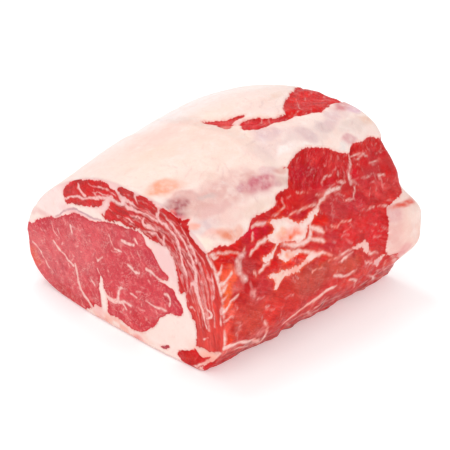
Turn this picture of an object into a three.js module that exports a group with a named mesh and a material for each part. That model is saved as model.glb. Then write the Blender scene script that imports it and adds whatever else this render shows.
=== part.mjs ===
// A raw boneless ribeye joint: one thick block of beef, cut square across the eye of the meat.
// The eye, its cap muscle and the white fat between them show on the cut face. A sheet of fat
// lies over the top and down the back, and one flank is trimmed to red meat.
//
// Millimetres, +Z up. The cut face looks along -Y and the trimmed flank along +X. The joint rests
// on its flat underside, and the origin is the middle of the underside of its bounding box.

import * as THREE from 'three';
import { mergeVertices } from 'three/addons/utils/BufferGeometryUtils.js';

// ---- Driving dimensions --------------------------------------------------------------------

// While it is shaped, X runs from the bottom right corner of the cut face towards the flank,
// Y from the cut face to the far end, and Z up from the underside.
const LENGTH = 186;

// The cross section's sizes at four places a third of the length apart, from the cut face back.
const UNDERSIDE_LEFT_X = [-128, -128, -128, -122];
const UNDERSIDE_RIGHT_X = [0, 2, 2, 4];
const FLANK_X = [24, 23.5, 22.5, 19];
const FLANK_Z = [28, 31, 33, 33];
const CROWN_X = [-50, -60, -66, -62];
const CROWN_Z = [104.5, 118.5, 130, 123.5];
const BACK_X = [-176, -179, -180, -172];
const BACK_Z = [28, 34, 36, 36];

// How full each quarter of the section is: 1 is a straight chamfer, 2 an ellipse, more is boxier.
const HEEL_FULLNESS = [1.45, 1.6, 1.7, 1.8];
const SHOULDER_FULLNESS = [2.4, 2.2, 2.25, 2.55];
const BACK_FULLNESS = [2.0, 2.1, 2.2, 2.15];
const KEEL_FULLNESS = [2.5, 2.3, 2.3, 2.3];

const CUT_EDGE_RADIUS = 2;
const FAR_EDGE_RADIUS = 6;

// The ragged edge where the flank meets the underside.
const HEEL_RAGS = [
  { height: 1.2, wavelength: 47, start: 0.4 },
  { height: 0.8, wavelength: 19, start: 2.1 },
];

// The lip of the fat sheet on the flank: [distance from the cut face, distance up round the girth
// from the underside's right edge]. The fat stands proud above it and the meat is trimmed below.
const FAT_LIP = [[0, 97], [38, 99], [46, 105], [62, 105], [68, 112], [80, 114], [88, 126],
  [104, 133], [120, 132], [136, 121], [160, 122], [186, 118]];
const FAT_LIP_RISE = 1.2;
const FLANK_TRIM = 1.4;
const FAT_LIP_WIDTH = 16;
const FAT_LIP_REACH = 38;

// The slit on top where one fat sheet ends at the next, and meat shows between them.
const SLIT = [[84, 200], [91, 184], [100, 174], [116, 164], [130, 161]];
const SLIT_DEPTH = 2.4;
const SLIT_HALF_WIDTH = 9;

// Low swellings and dents of the outside: distance from the cut face, distance up round the girth,
// half length, half width, and height, below zero for a dent.
const SWELLINGS = [
  [12, 66, 20, 24, 1.6],
  [52, 42, 30, 18, 2.0],
  [72, 90, 22, 9, 1.4],
  [118, 82, 34, 20, 2.6],
  [128, 40, 34, 14, 1.8],
  [156, 174, 34, 16, -2.4],
  [60, 170, 44, 26, 1.6],
  [112, 205, 46, 26, 1.6],
  [40, 240, 50, 34, 3.2],
  [120, 275, 52, 30, -1.0],
  [66, 330, 40, 26, -1.6],
  [150, 345, 36, 28, 1.5],
  [0, 205, 60, 42, 2.7],
  [0, 122, 36, 24, -1.1],
  [0, 92, 36, 22, 1.1],
  [178, 186, 18, 16, 1.0],
  [176, 110, 24, 22, -3.0],
];

// What is drawn outward as a whole. The core is the part of the reach that moves the full way.
const FAT_LOBE_PUSH = {
  centre: new THREE.Vector3(18, 178, 45),
  reach: new THREE.Vector3(38, 29, 33),
  push: new THREE.Vector3(12.8, 4.3, 4),
  core: 0.3,
};
const FACE_FOOT_PUSH = {
  centre: new THREE.Vector3(-70, 0, 0),
  reach: new THREE.Vector3(95, 34, 60),
  push: new THREE.Vector3(0, -3.6, 0),
  core: 0.25,
};

// The muscles and the fat kernel stand a little out of the cut face: X, Z, half width,
// half height, and height out of the face.
const FACE_SWELLINGS = [
  [-98, 38, 74, 40, 2.0],
  [-100, 89, 40, 14, 1.4],
  [-30, 10, 34, 16, 1.0],
  [8, 48, 22, 36, 1.2],
];

// The muscles' ends on the far face, which is cut too, are plainer.
const FAR_FACE_SWELLINGS = [
  [-96, 52, 80, 50, 2.2],
  [-6, 60, 34, 44, 1.4],
];

// ---- Steps of the mesh ---------------------------------------------------------------------

const HEEL_STEPS = 8;
const SHOULDER_STEPS = 24;
const BACK_STEPS = 30;
const KEEL_STEPS = 10;
const UNDERSIDE_STEPS = 20;
const LENGTH_STEPS = 30;
const EDGE_STEPS = 3;
const FACE_RINGS = [0.96, 0.88, 0.76, 0.6, 0.42, 0.22];
const FAR_FACE_RINGS = [0.92, 0.7, 0.36];

// Relief fades out over this height above the underside, so that the underside stays flat.
const RELIEF_START_Z = 10;

// ---- Small helpers -------------------------------------------------------------------------

const smooth = (value, low, high) => THREE.MathUtils.smoothstep(value, low, high);

// The cubic through four sizes a third of the length apart.
function through([a, b, c, d], t) {
  const fromStart = a * (1 - 3 * t) * (2 - 3 * t) * (1 - t);
  const second = 9 * b * t * (2 - 3 * t) * (1 - t);
  const third = 9 * c * t * (3 * t - 1) * (1 - t);
  const last = d * t * (3 * t - 1) * (3 * t - 2);
  return (fromStart + second + third + last) / 2;
}

// A smooth hump: 1 in the middle, 0 from one radius out.
function hump(radiusSquared) {
  return radiusSquared < 1 ? (1 - radiusSquared) ** 2 : 0;
}

// The height that a line of [along, up] points has at a place along it.
function heightOnLine(line, along) {
  let last = line.findIndex(([start]) => start >= along);
  if (last < 0) last = line.length - 1;
  const [a, b] = [line[Math.max(last - 1, 0)], line[last]];
  if (a === b) return b[1];
  return THREE.MathUtils.mapLinear(along, a[0], b[0], a[1], b[1]);
}

function distanceToLine(line, x, y) {
  const point = new THREE.Vector3(x, y, 0);
  const nearest = new THREE.Vector3();
  let distance = Infinity;
  for (let i = 1; i < line.length; i += 1) {
    const stretch = new THREE.Line3(
      new THREE.Vector3(...line[i - 1], 0),
      new THREE.Vector3(...line[i], 0),
    );
    stretch.closestPointToPoint(point, true, nearest);
    distance = Math.min(distance, nearest.distanceTo(point));
  }
  return distance;
}

// ---- The cross section ---------------------------------------------------------------------

// A quarter of a superellipse from one point to another. It leaves the first point upright,
// or level, and its last point belongs to the next quarter.
function quarter(from, to, fullness, steps, leavesUpright) {
  const points = [];
  for (let i = 0; i < steps; i += 1) {
    const angle = (Math.PI / 2) * (i / steps);
    const near = Math.cos(angle) ** (2 / fullness);
    const far = Math.sin(angle) ** (2 / fullness);
    const [x, z] = leavesUpright
      ? [to.x + (from.x - to.x) * near, from.y + (to.y - from.y) * far]
      : [from.x + (to.x - from.x) * far, to.y + (from.y - to.y) * near];
    points.push(new THREE.Vector2(x, z));
  }
  return points;
}

function heelX(y) {
  const rags = HEEL_RAGS.map(
    ({ height, wavelength, start }) => height * Math.sin((2 * Math.PI * y) / wavelength + start),
  );
  return through(UNDERSIDE_RIGHT_X, y / LENGTH) + rags.reduce((sum, rag) => sum + rag, 0);
}

// The outline at a distance from the cut face: up the flank, over the top, down the back,
// and home along the underside.
function sectionAt(y) {
  const t = y / LENGTH;
  const heel = new THREE.Vector2(heelX(y), 0);
  const flank = new THREE.Vector2(through(FLANK_X, t), through(FLANK_Z, t));
  const crown = new THREE.Vector2(through(CROWN_X, t), through(CROWN_Z, t));
  const back = new THREE.Vector2(through(BACK_X, t), through(BACK_Z, t));
  const keel = new THREE.Vector2(through(UNDERSIDE_LEFT_X, t), 0);
  const underside = [];
  for (let i = 0; i < UNDERSIDE_STEPS; i += 1) {
    underside.push(keel.clone().lerp(heel, i / UNDERSIDE_STEPS));
  }
  return [
    ...quarter(heel, flank, through(HEEL_FULLNESS, t), HEEL_STEPS, false),
    ...quarter(flank, crown, through(SHOULDER_FULLNESS, t), SHOULDER_STEPS, true),
    ...quarter(crown, back, through(BACK_FULLNESS, t), BACK_STEPS, false),
    ...quarter(back, keel, through(KEEL_FULLNESS, t), KEEL_STEPS, true),
    ...underside,
  ];
}

// The middle and half size of the outline's box, without the outline's relief.
function boxAt(y) {
  const t = y / LENGTH;
  const low = new THREE.Vector2(through(BACK_X, t), 0);
  const high = new THREE.Vector2(through(FLANK_X, t), through(CROWN_Z, t));
  return {
    middle: low.clone().add(high).divideScalar(2),
    half: high.clone().sub(low).divideScalar(2),
  };
}

// ---- Relief --------------------------------------------------------------------------------

// How far the outside stands out, or in, at a distance from the cut face and up round the girth.
function outsideRelief(y, girth) {
  const aboveLip = girth - heightOnLine(FAT_LIP, y);
  const lipSide = smooth(aboveLip, -FAT_LIP_WIDTH / 2, FAT_LIP_WIDTH / 2);
  const lipFade = 1 - smooth(Math.abs(aboveLip), FAT_LIP_WIDTH, FAT_LIP_REACH);
  let height = THREE.MathUtils.lerp(-FLANK_TRIM, FAT_LIP_RISE, lipSide) * lipFade;

  height -= SLIT_DEPTH * hump((distanceToLine(SLIT, y, girth) / SLIT_HALF_WIDTH) ** 2);

  for (const [middleY, middleGirth, halfLength, halfWidth, rise] of SWELLINGS) {
    const along = (y - middleY) / halfLength;
    const across = (girth - middleGirth) / halfWidth;
    height += rise * hump(along ** 2 + across ** 2);
  }
  return height;
}

// The lobe of fat hangs out of the flank at its far end, and the foot of the cut face sags forward.
function pushOut(point) {
  for (const { centre, reach, push, core } of [FAT_LOBE_PUSH, FACE_FOOT_PUSH]) {
    const away = point.clone().sub(centre).divide(reach).length();
    point.addScaledVector(push, 1 - smooth(away, core, 1));
  }
}

function faceRelief(swellings, x, z) {
  let height = 0;
  for (const [middleX, middleZ, halfWidth, halfHeight, rise] of swellings) {
    const across = (x - middleX) / halfWidth;
    const up = (z - middleZ) / halfHeight;
    height += rise * hump(across ** 2 + up ** 2);
  }
  return height;
}

// ---- The solid -----------------------------------------------------------------------------

// One ring of points round the joint, drawn in towards its middle where an edge is rounded.
function outsideRing(y, inset) {
  const outline = sectionAt(y);
  const count = outline.length;
  const { middle, half } = boxAt(y);
  let girth = 0;
  return outline.map((point, i) => {
    const before = outline[(i + count - 1) % count];
    const after = outline[(i + 1) % count];
    if (i > 0) girth += point.distanceTo(before);
    const along = after.clone().sub(before).normalize();
    const outward = new THREE.Vector2(along.y, -along.x);
    const reliefFade = smooth(point.y, 0, RELIEF_START_Z);
    const out = outsideRelief(y, girth) * reliefFade;
    const placed = point.clone().addScaledVector(outward, out).sub(middle);
    return new THREE.Vector3(
      middle.x + placed.x * (1 - inset / half.x),
      y,
      middle.y + placed.y * (1 - inset / half.y),
    );
  });
}

// Rings from the cut face to the far face, both edges rounded.
function outsideRings() {
  const rings = [];
  for (let i = 0; i < EDGE_STEPS; i += 1) {
    const angle = (Math.PI / 2) * (i / EDGE_STEPS);
    const setback = CUT_EDGE_RADIUS * (1 - Math.sin(angle));
    rings.push(outsideRing(CUT_EDGE_RADIUS * (1 - Math.cos(angle)), setback));
  }
  for (let i = 0; i <= LENGTH_STEPS; i += 1) {
    const y = THREE.MathUtils.lerp(CUT_EDGE_RADIUS, LENGTH - FAR_EDGE_RADIUS, i / LENGTH_STEPS);
    rings.push(outsideRing(y, 0));
  }
  for (let i = EDGE_STEPS - 1; i >= 0; i -= 1) {
    const angle = (Math.PI / 2) * (i / EDGE_STEPS);
    const setback = FAR_EDGE_RADIUS * (1 - Math.sin(angle));
    rings.push(outsideRing(LENGTH - FAR_EDGE_RADIUS * (1 - Math.cos(angle)), setback));
  }
  return rings;
}

function middleOf(ring) {
  const sum = ring.reduce((total, point) => total.add(point), new THREE.Vector3());
  return sum.divideScalar(ring.length);
}

// Rings that close a face, from its rim to its middle. Outward is -1 at the cut face, 1 at the far.
function faceRings(rim, sizes, swellings, outward) {
  const middle = middleOf(rim);
  const shape = (point) => {
    point.y += outward * faceRelief(swellings, point.x, point.z);
    return point;
  };
  const rings = sizes.map((size) => rim.map((point) => shape(middle.clone().lerp(point, size))));
  return { rings, middle: shape(middle.clone()) };
}

function buildJoint() {
  const outside = outsideRings();
  const face = faceRings(outside[0], FACE_RINGS, FACE_SWELLINGS, -1);
  const farRim = outside[outside.length - 1];
  const farFace = faceRings(farRim, FAR_FACE_RINGS, FAR_FACE_SWELLINGS, 1);
  const rings = [...face.rings.reverse(), ...outside, ...farFace.rings];
  rings.flat().forEach(pushOut);

  const count = rings[0].length;
  const positions = rings.flat().flatMap((point) => point.toArray());
  positions.push(...face.middle.toArray(), ...farFace.middle.toArray());
  const nearMiddle = rings.length * count;
  const farMiddle = nearMiddle + 1;

  const triangles = [];
  for (let i = 0; i < count; i += 1) {
    const next = (i + 1) % count;
    for (let ring = 0; ring + 1 < rings.length; ring += 1) {
      const near = ring * count;
      const far = near + count;
      triangles.push(near + i, far + i, near + next);
      triangles.push(near + next, far + i, far + next);
    }
    const last = (rings.length - 1) * count;
    triangles.push(nearMiddle, i, next);
    triangles.push(farMiddle, last + next, last + i);
  }

  const geometry = new THREE.BufferGeometry();
  geometry.setAttribute('position', new THREE.Float32BufferAttribute(positions, 3));
  geometry.setIndex(triangles);
  return mergeVertices(geometry);
}

// Moves the origin to the middle of the underside of the bounding box.
function standOnOrigin(geometry) {
  geometry.computeBoundingBox();
  const { min, max } = geometry.boundingBox;
  geometry.translate(-(min.x + max.x) / 2, -(min.y + max.y) / 2, -min.z);
  geometry.computeVertexNormals();
  return geometry;
}

const rawBeef = new THREE.MeshStandardMaterial({
  name: 'raw_beef',
  color: 0xc4483f,
  roughness: 0.42,
  metalness: 0,
});

const ribeye = new THREE.Mesh(standOnOrigin(buildJoint()), rawBeef);
ribeye.name = 'ribeye';

const joint = new THREE.Group();
joint.add(ribeye);

export default joint;
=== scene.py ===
"""Looks of a raw boneless ribeye joint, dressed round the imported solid.

The joint is one closed mesh, built from the same named sizes as the solid, but fine enough to
carry its muscles, seams and fat. Each pattern is drawn in millimetres on one of two charts:
the cut face (x to the right, z up) and the outside (y from the cut face, u up round the girth).
The charts' origin is the bottom right corner of the cut face.
"""
import math

import bpy
import numpy as np
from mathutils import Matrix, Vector
from mathutils.geometry import delaunay_2d_cdt


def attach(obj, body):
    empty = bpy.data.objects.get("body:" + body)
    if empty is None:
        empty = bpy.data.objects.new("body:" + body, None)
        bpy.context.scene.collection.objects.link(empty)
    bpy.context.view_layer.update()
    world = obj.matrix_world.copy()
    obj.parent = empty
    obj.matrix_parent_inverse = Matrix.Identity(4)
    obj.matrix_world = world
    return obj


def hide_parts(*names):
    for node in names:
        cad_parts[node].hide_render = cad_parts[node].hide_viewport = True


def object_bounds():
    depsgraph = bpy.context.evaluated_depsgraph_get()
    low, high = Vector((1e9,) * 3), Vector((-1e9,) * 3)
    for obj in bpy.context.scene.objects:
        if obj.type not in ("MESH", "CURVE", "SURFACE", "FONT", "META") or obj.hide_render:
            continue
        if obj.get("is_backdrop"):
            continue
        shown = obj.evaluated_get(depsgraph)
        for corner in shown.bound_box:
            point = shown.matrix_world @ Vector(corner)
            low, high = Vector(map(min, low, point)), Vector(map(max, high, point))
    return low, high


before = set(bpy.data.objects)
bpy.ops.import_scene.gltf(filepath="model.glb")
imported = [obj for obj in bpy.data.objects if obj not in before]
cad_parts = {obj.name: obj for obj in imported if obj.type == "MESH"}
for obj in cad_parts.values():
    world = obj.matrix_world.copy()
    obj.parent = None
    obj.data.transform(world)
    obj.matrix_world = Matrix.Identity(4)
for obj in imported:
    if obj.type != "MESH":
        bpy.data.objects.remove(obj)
cad_low, cad_high = (tuple(corner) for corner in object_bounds())

MM = 0.001

# ---- The form: the same sizes as the solid, in millimetres ----------------------------------

LENGTH = 186.0

# At four places a third of the length apart, from the cut face back.
UNDERSIDE_LEFT_X = (-128, -128, -128, -122)
UNDERSIDE_RIGHT_X = (0, 2, 2, 4)
FLANK_X = (24, 23.5, 22.5, 19)
FLANK_Z = (28, 31, 33, 33)
CROWN_X = (-50, -60, -66, -62)
CROWN_Z = (104.5, 118.5, 130, 123.5)
BACK_X = (-176, -179, -180, -172)
BACK_Z = (28, 34, 36, 36)
HEEL_FULLNESS = (1.45, 1.6, 1.7, 1.8)
SHOULDER_FULLNESS = (2.4, 2.2, 2.25, 2.55)
BACK_FULLNESS = (2.0, 2.1, 2.2, 2.15)
KEEL_FULLNESS = (2.5, 2.3, 2.3, 2.3)

CUT_EDGE_RADIUS = 2.0
FAR_EDGE_RADIUS = 6.0
HEEL_RAGS = ((1.2, 47, 0.4), (0.8, 19, 2.1))

SLIT = ((84, 200), (91, 184), (100, 174), (116, 164), (130, 161))
SLIT_DEPTH = 2.4
SLIT_HALF_WIDTH = 9.0

# y, u, half length, half width, rise
SWELLINGS = (
    (12, 66, 20, 24, 1.6),
    (52, 42, 30, 18, 2.0),
    (72, 90, 22, 9, 1.4),
    (118, 82, 34, 20, 2.6),
    (128, 40, 34, 14, 1.8),
    (156, 174, 34, 16, -2.4),
    (60, 170, 44, 26, 1.6),
    (112, 205, 46, 26, 1.6),
    (40, 240, 50, 34, 3.2),
    (120, 275, 52, 30, -1.0),
    (66, 330, 40, 26, -1.6),
    (150, 345, 36, 28, 1.5),
    (0, 205, 60, 42, 2.7),
    (0, 122, 36, 24, -1.1),
    (0, 92, 36, 22, 1.1),
    (178, 186, 18, 16, 1.0),
    (176, 110, 24, 22, -3.0),
)

# What is drawn outward as a whole: the lobe of fat at the flank's far end, and the foot of the
# cut face, which sags forward. Centre, reach, push, and the part of the reach that moves whole.
PUSHES = (
    ((18, 178, 45), (38, 29, 33), (12.8, 4.3, 4.0), 0.3),
    ((-70, 0, 0), (95, 34, 60), (0, -3.6, 0), 0.25),
)

FACE_SWELLINGS = (
    (-98, 38, 74, 40, 2.0),
    (-100, 89, 40, 14, 1.4),
    (-30, 10, 34, 16, 1.0),
    (8, 48, 22, 36, 1.2),
)
FAR_FACE_SWELLINGS = ((-96, 52, 80, 50, 2.2), (-6, 60, 34, 44, 1.4))
RELIEF_START_Z = 10.0

# The lip of the fat sheet on the flank, in y and u. Its step holds close to the lip, then fades.
FAT_LIP = (
    (-8, 97), (3, 97), (8, 98), (13, 97.5), (17, 95.2), (22, 96), (28, 98), (34, 98.3), (39, 99.5),
    (43, 104), (47, 105.2), (52, 103.8), (57, 103.7), (62, 105.4), (66, 107.5), (68, 111.5),
    (73, 112.5), (81, 113.7), (84, 119), (88, 124.5), (92, 127.7), (97, 129.2), (101, 131.8),
    (106, 133.3), (115, 133.2), (121, 132), (126, 129.3), (131, 125.2), (135, 121.6), (140, 119.5),
    (143, 119.3), (147, 121.2), (155, 121.8), (162, 122.8), (171, 122.8), (178, 120), (194, 116),
)
FAT_LIP_RISE = 1.2
FLANK_TRIM = 1.4
FAT_LIP_HOLD = 8.0
FAT_LIP_REACH = 38.0
FAT_LIP_HALF_WIDTH = 2.2

# ---- Steps of the mesh ----------------------------------------------------------------------

LENGTH_ROWS = 158
EDGE_ROWS = 3
HEEL_POINTS = 42
SHOULDER_POINTS = 140
BACK_POINTS = 84
KEEL_POINTS = 14
UNDERSIDE_POINTS = 30
FACE_SPACING = 0.68
FAR_FACE_SPACING = 1.8
CURVE_SAMPLES = 400

# The triangulation keeps what is inside the outline, and joins points closer than this.
KEEP_INSIDE = 1
SAME_PLACE = 1e-6

# The width over which a thin line's edge is softened on each chart.
FACE_SOFTNESS = 0.9
FLANK_SOFTNESS = 1.2

# The depth given to a point that is nowhere near an outline or a line.
FAR_OUT = -30.0

# How far into the fat and out of it its depth is counted.
FAT_REACH = 8
FACE_FAT_REACH = 6

# Low relief: muscles swell between their seams, and meat lies lower than fat, veins lower still.
MUSCLE_RISE = 0.9
MUSCLE_SHOULDER = 3.0
MEAT_SINK = 0.3
FLANK_VEIN_SINK = 0.35
TOP_MEAT_SINK = 1.3
FACE_FAT_RISE = 0.25
FACE_CREASE_SINK = 0.3
FACE_CREASE_WIDTH = 0.9
FACE_VEIN_SINK = 0.15
HEEL_RAGS_MIDDLE = 7
HEEL_RAGS_REACH = 19

# Layers of noise: how high, how wide, and the seed or what is added to it.
FACE_WEAR = ((0.4, 2.2, 6), (0.25, 6, 7))
FACE_LUMPS = ((0.25, 7, 0), (0.14, 2.6, 1))
OUTSIDE_WEAR = ((0.4, 2.5, 56), (0.35, 7, 57))
MEAT_LUMPS = ((0.45, 11, 41), (0.28, 5, 42), (0.12, 2.2, 43))
FAT_LUMPS = ((0.45, 24, 44), (0.2, 8, 45), (0.07, 3, 46))
HEEL_LUMPS = ((1.3, 7, 51), (1.2, 3.2, 52))

NEAR_FACE_SEED = 5
FAR_FACE_SEED = 60
OUTSIDE_SEED = 21


def srgb(red, green, blue):
    """A colour as the eye reads it, 0 to 255, in linear light."""
    values = np.array((red, green, blue)) / 255
    return tuple(np.where(values < 0.04045, values / 12.92, ((values + 0.055) / 1.055) ** 2.4))


# ---- Small helpers --------------------------------------------------------------------------


def through(sizes, t):
    """The cubic through four sizes a third of the length apart."""
    a, b, c, d = sizes
    start = a * (1 - 3 * t) * (2 - 3 * t) * (1 - t)
    second = 9 * b * t * (2 - 3 * t) * (1 - t)
    third = 9 * c * t * (3 * t - 1) * (1 - t)
    end = d * t * (3 * t - 1) * (3 * t - 2)
    return (start + second + third + end) / 2


def smooth(value, low, high):
    """0 up to low, 1 from high on, and a soft rise between them."""
    t = np.clip((value - low) / (high - low), 0, 1)
    return t * t * (3 - 2 * t)


def hump(radius_squared):
    """1 in the middle, 0 from one radius out."""
    return np.clip(1 - radius_squared, 0, None) ** 2


def blob(a, b, middle_a, middle_b, half_a, half_b):
    """1 in the middle of an oval, 0 from its rim out."""
    return hump(((a - middle_a) / half_a) ** 2 + ((b - middle_b) / half_b) ** 2)


def noise(points, size, seed):
    """Smooth noise from -1 to 1 over points in millimetres, with lumps of about the given size."""
    places = points / size
    cell = np.floor(places).astype(np.int64)
    part = places - cell
    part = part * part * (3 - 2 * part)
    total = np.zeros(len(points))
    for corner in range(8):
        step = np.array((corner & 1, corner >> 1 & 1, corner >> 2 & 1))
        at = (cell + step).astype(np.uint64)
        mixed = at[:, 0] * np.uint64(73856093) ^ at[:, 1] * np.uint64(19349663)
        mixed ^= at[:, 2] * np.uint64(83492791) ^ np.uint64(seed * 2654435761)
        mixed ^= mixed >> np.uint64(15)
        mixed *= np.uint64(2246822519)
        mixed ^= mixed >> np.uint64(13)
        value = (mixed & np.uint64(0xFFFF)).astype(float) / 0x7FFF - 1
        total += value * np.prod(np.where(step, part, 1 - part), axis=1)
    return total


def noises(points, layers, seed=0):
    """The sum of some layers of noise, each a height, a width and what is added to the seed."""
    return sum(height * noise(points, size, seed + step) for height, size, step in layers)


def rounded(points, times=2, closed=True):
    """The same outline with its corners cut, so that listed points give a soft line."""
    line = np.array(points, float)
    for _ in range(times):
        after = np.roll(line, -1, axis=0) if closed else line[1:]
        before = line if closed else line[:-1]
        cut = np.stack((0.75 * before + 0.25 * after, 0.25 * before + 0.75 * after), axis=1)
        cut = cut.reshape(-1, line.shape[1])
        line = cut if closed else np.vstack((line[:1], cut, line[-1:]))
    return line


def distance_to_line(points, line):
    """The distance from each point to a line of points, and how far along the line, 0 to 1."""
    line = np.asarray(line, float)
    nearest = np.full(len(points), np.inf)
    along = np.zeros(len(points))
    stretches = len(line) - 1
    for i in range(stretches):
        step = line[i + 1] - line[i]
        part = np.clip((points - line[i]) @ step / max(step @ step, 1e-9), 0, 1)
        away = np.hypot(*(points - line[i] - part[:, None] * step).T)
        closer = away < nearest
        nearest = np.where(closer, away, nearest)
        along = np.where(closer, (i + part) / stretches, along)
    return nearest, along


def inside(points, outline):
    """How far each point is inside an outline, below zero outside it."""
    closed = np.vstack((outline, outline[:1]))
    within = np.zeros(len(points), bool)
    for (x0, y0), (x1, y1) in zip(closed[:-1], closed[1:]):
        crosses = (y0 > points[:, 1]) != (y1 > points[:, 1])
        span = y1 - y0 if y1 != y0 else 1e-9
        within ^= crosses & (points[:, 0] < x0 + (points[:, 1] - y0) * (x1 - x0) / span)
    away, _ = distance_to_line(points, closed)
    return np.where(within, away, -away)


def near(points, outline, margin):
    """Which points lie in an outline's box, with a margin."""
    low, high = np.min(outline, axis=0) - margin, np.max(outline, axis=0) + margin
    return np.all((points > low) & (points < high), axis=1)


def area_depth(points, outlines, margin):
    """How far each point is inside the outlines that have it in their box, with a margin."""
    depth = np.full(len(points), FAR_OUT)
    for outline in outlines:
        close = near(points, outline, margin)
        if close.any():
            depth[close] = np.maximum(depth[close], inside(points[close], outline))
    return depth


def line_depth(points, line):
    """How far each point is inside a line whose points are (place, place, half width)."""
    depth = np.full(len(points), -np.inf)
    for start, end in zip(line[:-1], line[1:]):
        step = end[:2] - start[:2]
        part = np.clip((points - start[:2]) @ step / max(step @ step, 1e-9), 0, 1)
        away = np.hypot(*(points - start[:2] - part[:, None] * step).T)
        depth = np.maximum(depth, start[2] + (end[2] - start[2]) * part - away)
    return depth


def lines_depth(points, lines, margin=5.0):
    """How far each point is inside rounded lines of (place, place, half width) points."""
    depth = np.full(len(points), FAR_OUT)
    for line in lines:
        line = rounded(line, 2, closed=False)
        close = near(points, line[:, :2], margin)
        if close.any():
            depth[close] = np.maximum(depth[close], line_depth(points[close], line))
    return depth


def shifts(points, size, seed):
    """Two noises side by side, by which places on a chart are moved."""
    return np.stack((noise(points, size, seed), noise(points, size, seed + 1)), axis=1)


def strokes(a, b, angle, length, width, seed):
    """Noise drawn out along an angle, in degrees, as the fibres of meat are."""
    turn = math.radians(angle)
    along = a * math.cos(turn) + b * math.sin(turn)
    across = b * math.cos(turn) - a * math.sin(turn)
    return noise(np.stack((along / length, across / width, np.zeros(len(a))), axis=1), 1.0, seed)


# ---- The outside of the form ----------------------------------------------------------------


def quarter(start, end, fullness, leaves_upright):
    """A quarter of a superellipse between two points, finely sampled."""
    angle = np.linspace(0, np.pi / 2, CURVE_SAMPLES)
    near_part = np.cos(angle) ** (2 / fullness)
    far_part = np.sin(angle) ** (2 / fullness)
    (x0, z0), (x1, z1) = start, end
    if leaves_upright:
        return np.stack((x1 + (x0 - x1) * near_part, z0 + (z1 - z0) * far_part), axis=1)
    return np.stack((x0 + (x1 - x0) * far_part, z1 + (z0 - z1) * near_part), axis=1)


def spaced(curve, count):
    """Evenly spaced points along a curve, without its last."""
    steps = np.hypot(*np.diff(curve, axis=0).T)
    reach = np.concatenate(((0,), np.cumsum(steps)))
    at = np.linspace(0, reach[-1], count, endpoint=False)
    return np.stack((np.interp(at, reach, curve[:, 0]), np.interp(at, reach, curve[:, 1])), axis=1)


def section(y):
    """The points of a section, from the heel up the flank, over the crown and back underneath."""
    t = y / LENGTH
    rags = sum(height * math.sin(2 * math.pi * y / wave + start) for height, wave, start in HEEL_RAGS)
    heel = (through(UNDERSIDE_RIGHT_X, t) + rags, 0)
    flank = (through(FLANK_X, t), through(FLANK_Z, t))
    crown = (through(CROWN_X, t), through(CROWN_Z, t))
    back = (through(BACK_X, t), through(BACK_Z, t))
    keel = (through(UNDERSIDE_LEFT_X, t), 0)
    return np.vstack((
        spaced(quarter(heel, flank, through(HEEL_FULLNESS, t), False), HEEL_POINTS),
        spaced(quarter(flank, crown, through(SHOULDER_FULLNESS, t), True), SHOULDER_POINTS),
        spaced(quarter(crown, back, through(BACK_FULLNESS, t), False), BACK_POINTS),
        spaced(quarter(back, keel, through(KEEL_FULLNESS, t), True), KEEL_POINTS),
        spaced(np.array((keel, heel), float), UNDERSIDE_POINTS),
    ))


def box_at(y):
    """The middle and half size of the section's box, in x and z, without its relief."""
    t = y / LENGTH
    low = np.array((through(BACK_X, t), 0))
    high = np.array((through(FLANK_X, t), through(CROWN_Z, t)))
    return (low + high) / 2, (high - low) / 2


def rows():
    """The distance from the cut face and the inset of each ring of points."""
    turn = np.linspace(0, np.pi / 2, EDGE_ROWS, endpoint=False)
    near_y = CUT_EDGE_RADIUS * (1 - np.cos(turn))
    far_y = LENGTH - FAR_EDGE_RADIUS * (1 - np.cos(turn[::-1]))
    middle_y = np.linspace(CUT_EDGE_RADIUS, LENGTH - FAR_EDGE_RADIUS, LENGTH_ROWS)
    near_inset = CUT_EDGE_RADIUS * (1 - np.sin(turn))
    far_inset = FAR_EDGE_RADIUS * (1 - np.sin(turn[::-1]))
    y = np.concatenate((near_y, middle_y, far_y))
    inset = np.concatenate((near_inset, np.zeros(LENGTH_ROWS), far_inset))
    return y, inset


def swollen(height, a, b, swellings):
    """The height with swellings added, each a middle, two half sizes and a rise."""
    for middle_a, middle_b, half_a, half_b, rise in swellings:
        height = height + rise * blob(a, b, middle_a, middle_b, half_a, half_b)
    return height


def broad_relief(y, u):
    """The swellings and the slit, as on the solid."""
    away, _ = distance_to_line(np.stack((y, u), axis=1), SLIT)
    return swollen(-SLIT_DEPTH * hump((away / SLIT_HALF_WIDTH) ** 2), y, u, SWELLINGS)


def lip_relief(depth_in_meat):
    """The step from the trimmed flank up to the fat sheet."""
    side = smooth(-depth_in_meat, -FAT_LIP_HALF_WIDTH, FAT_LIP_HALF_WIDTH)
    fade = 1 - smooth(np.abs(depth_in_meat), FAT_LIP_HOLD, FAT_LIP_REACH)
    return (FAT_LIP_RISE * side - FLANK_TRIM * (1 - side)) * fade


def pushed(points):
    """The points with what is drawn outward as a whole."""
    for centre, reach, push, core in PUSHES:
        away = np.linalg.norm((points - np.array(centre)) / np.array(reach), axis=1)
        points = points + np.array(push) * (1 - smooth(away, core, 1))[:, None]
    return points


# ---- The cut face's pattern, in x and z -----------------------------------------------------

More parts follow.
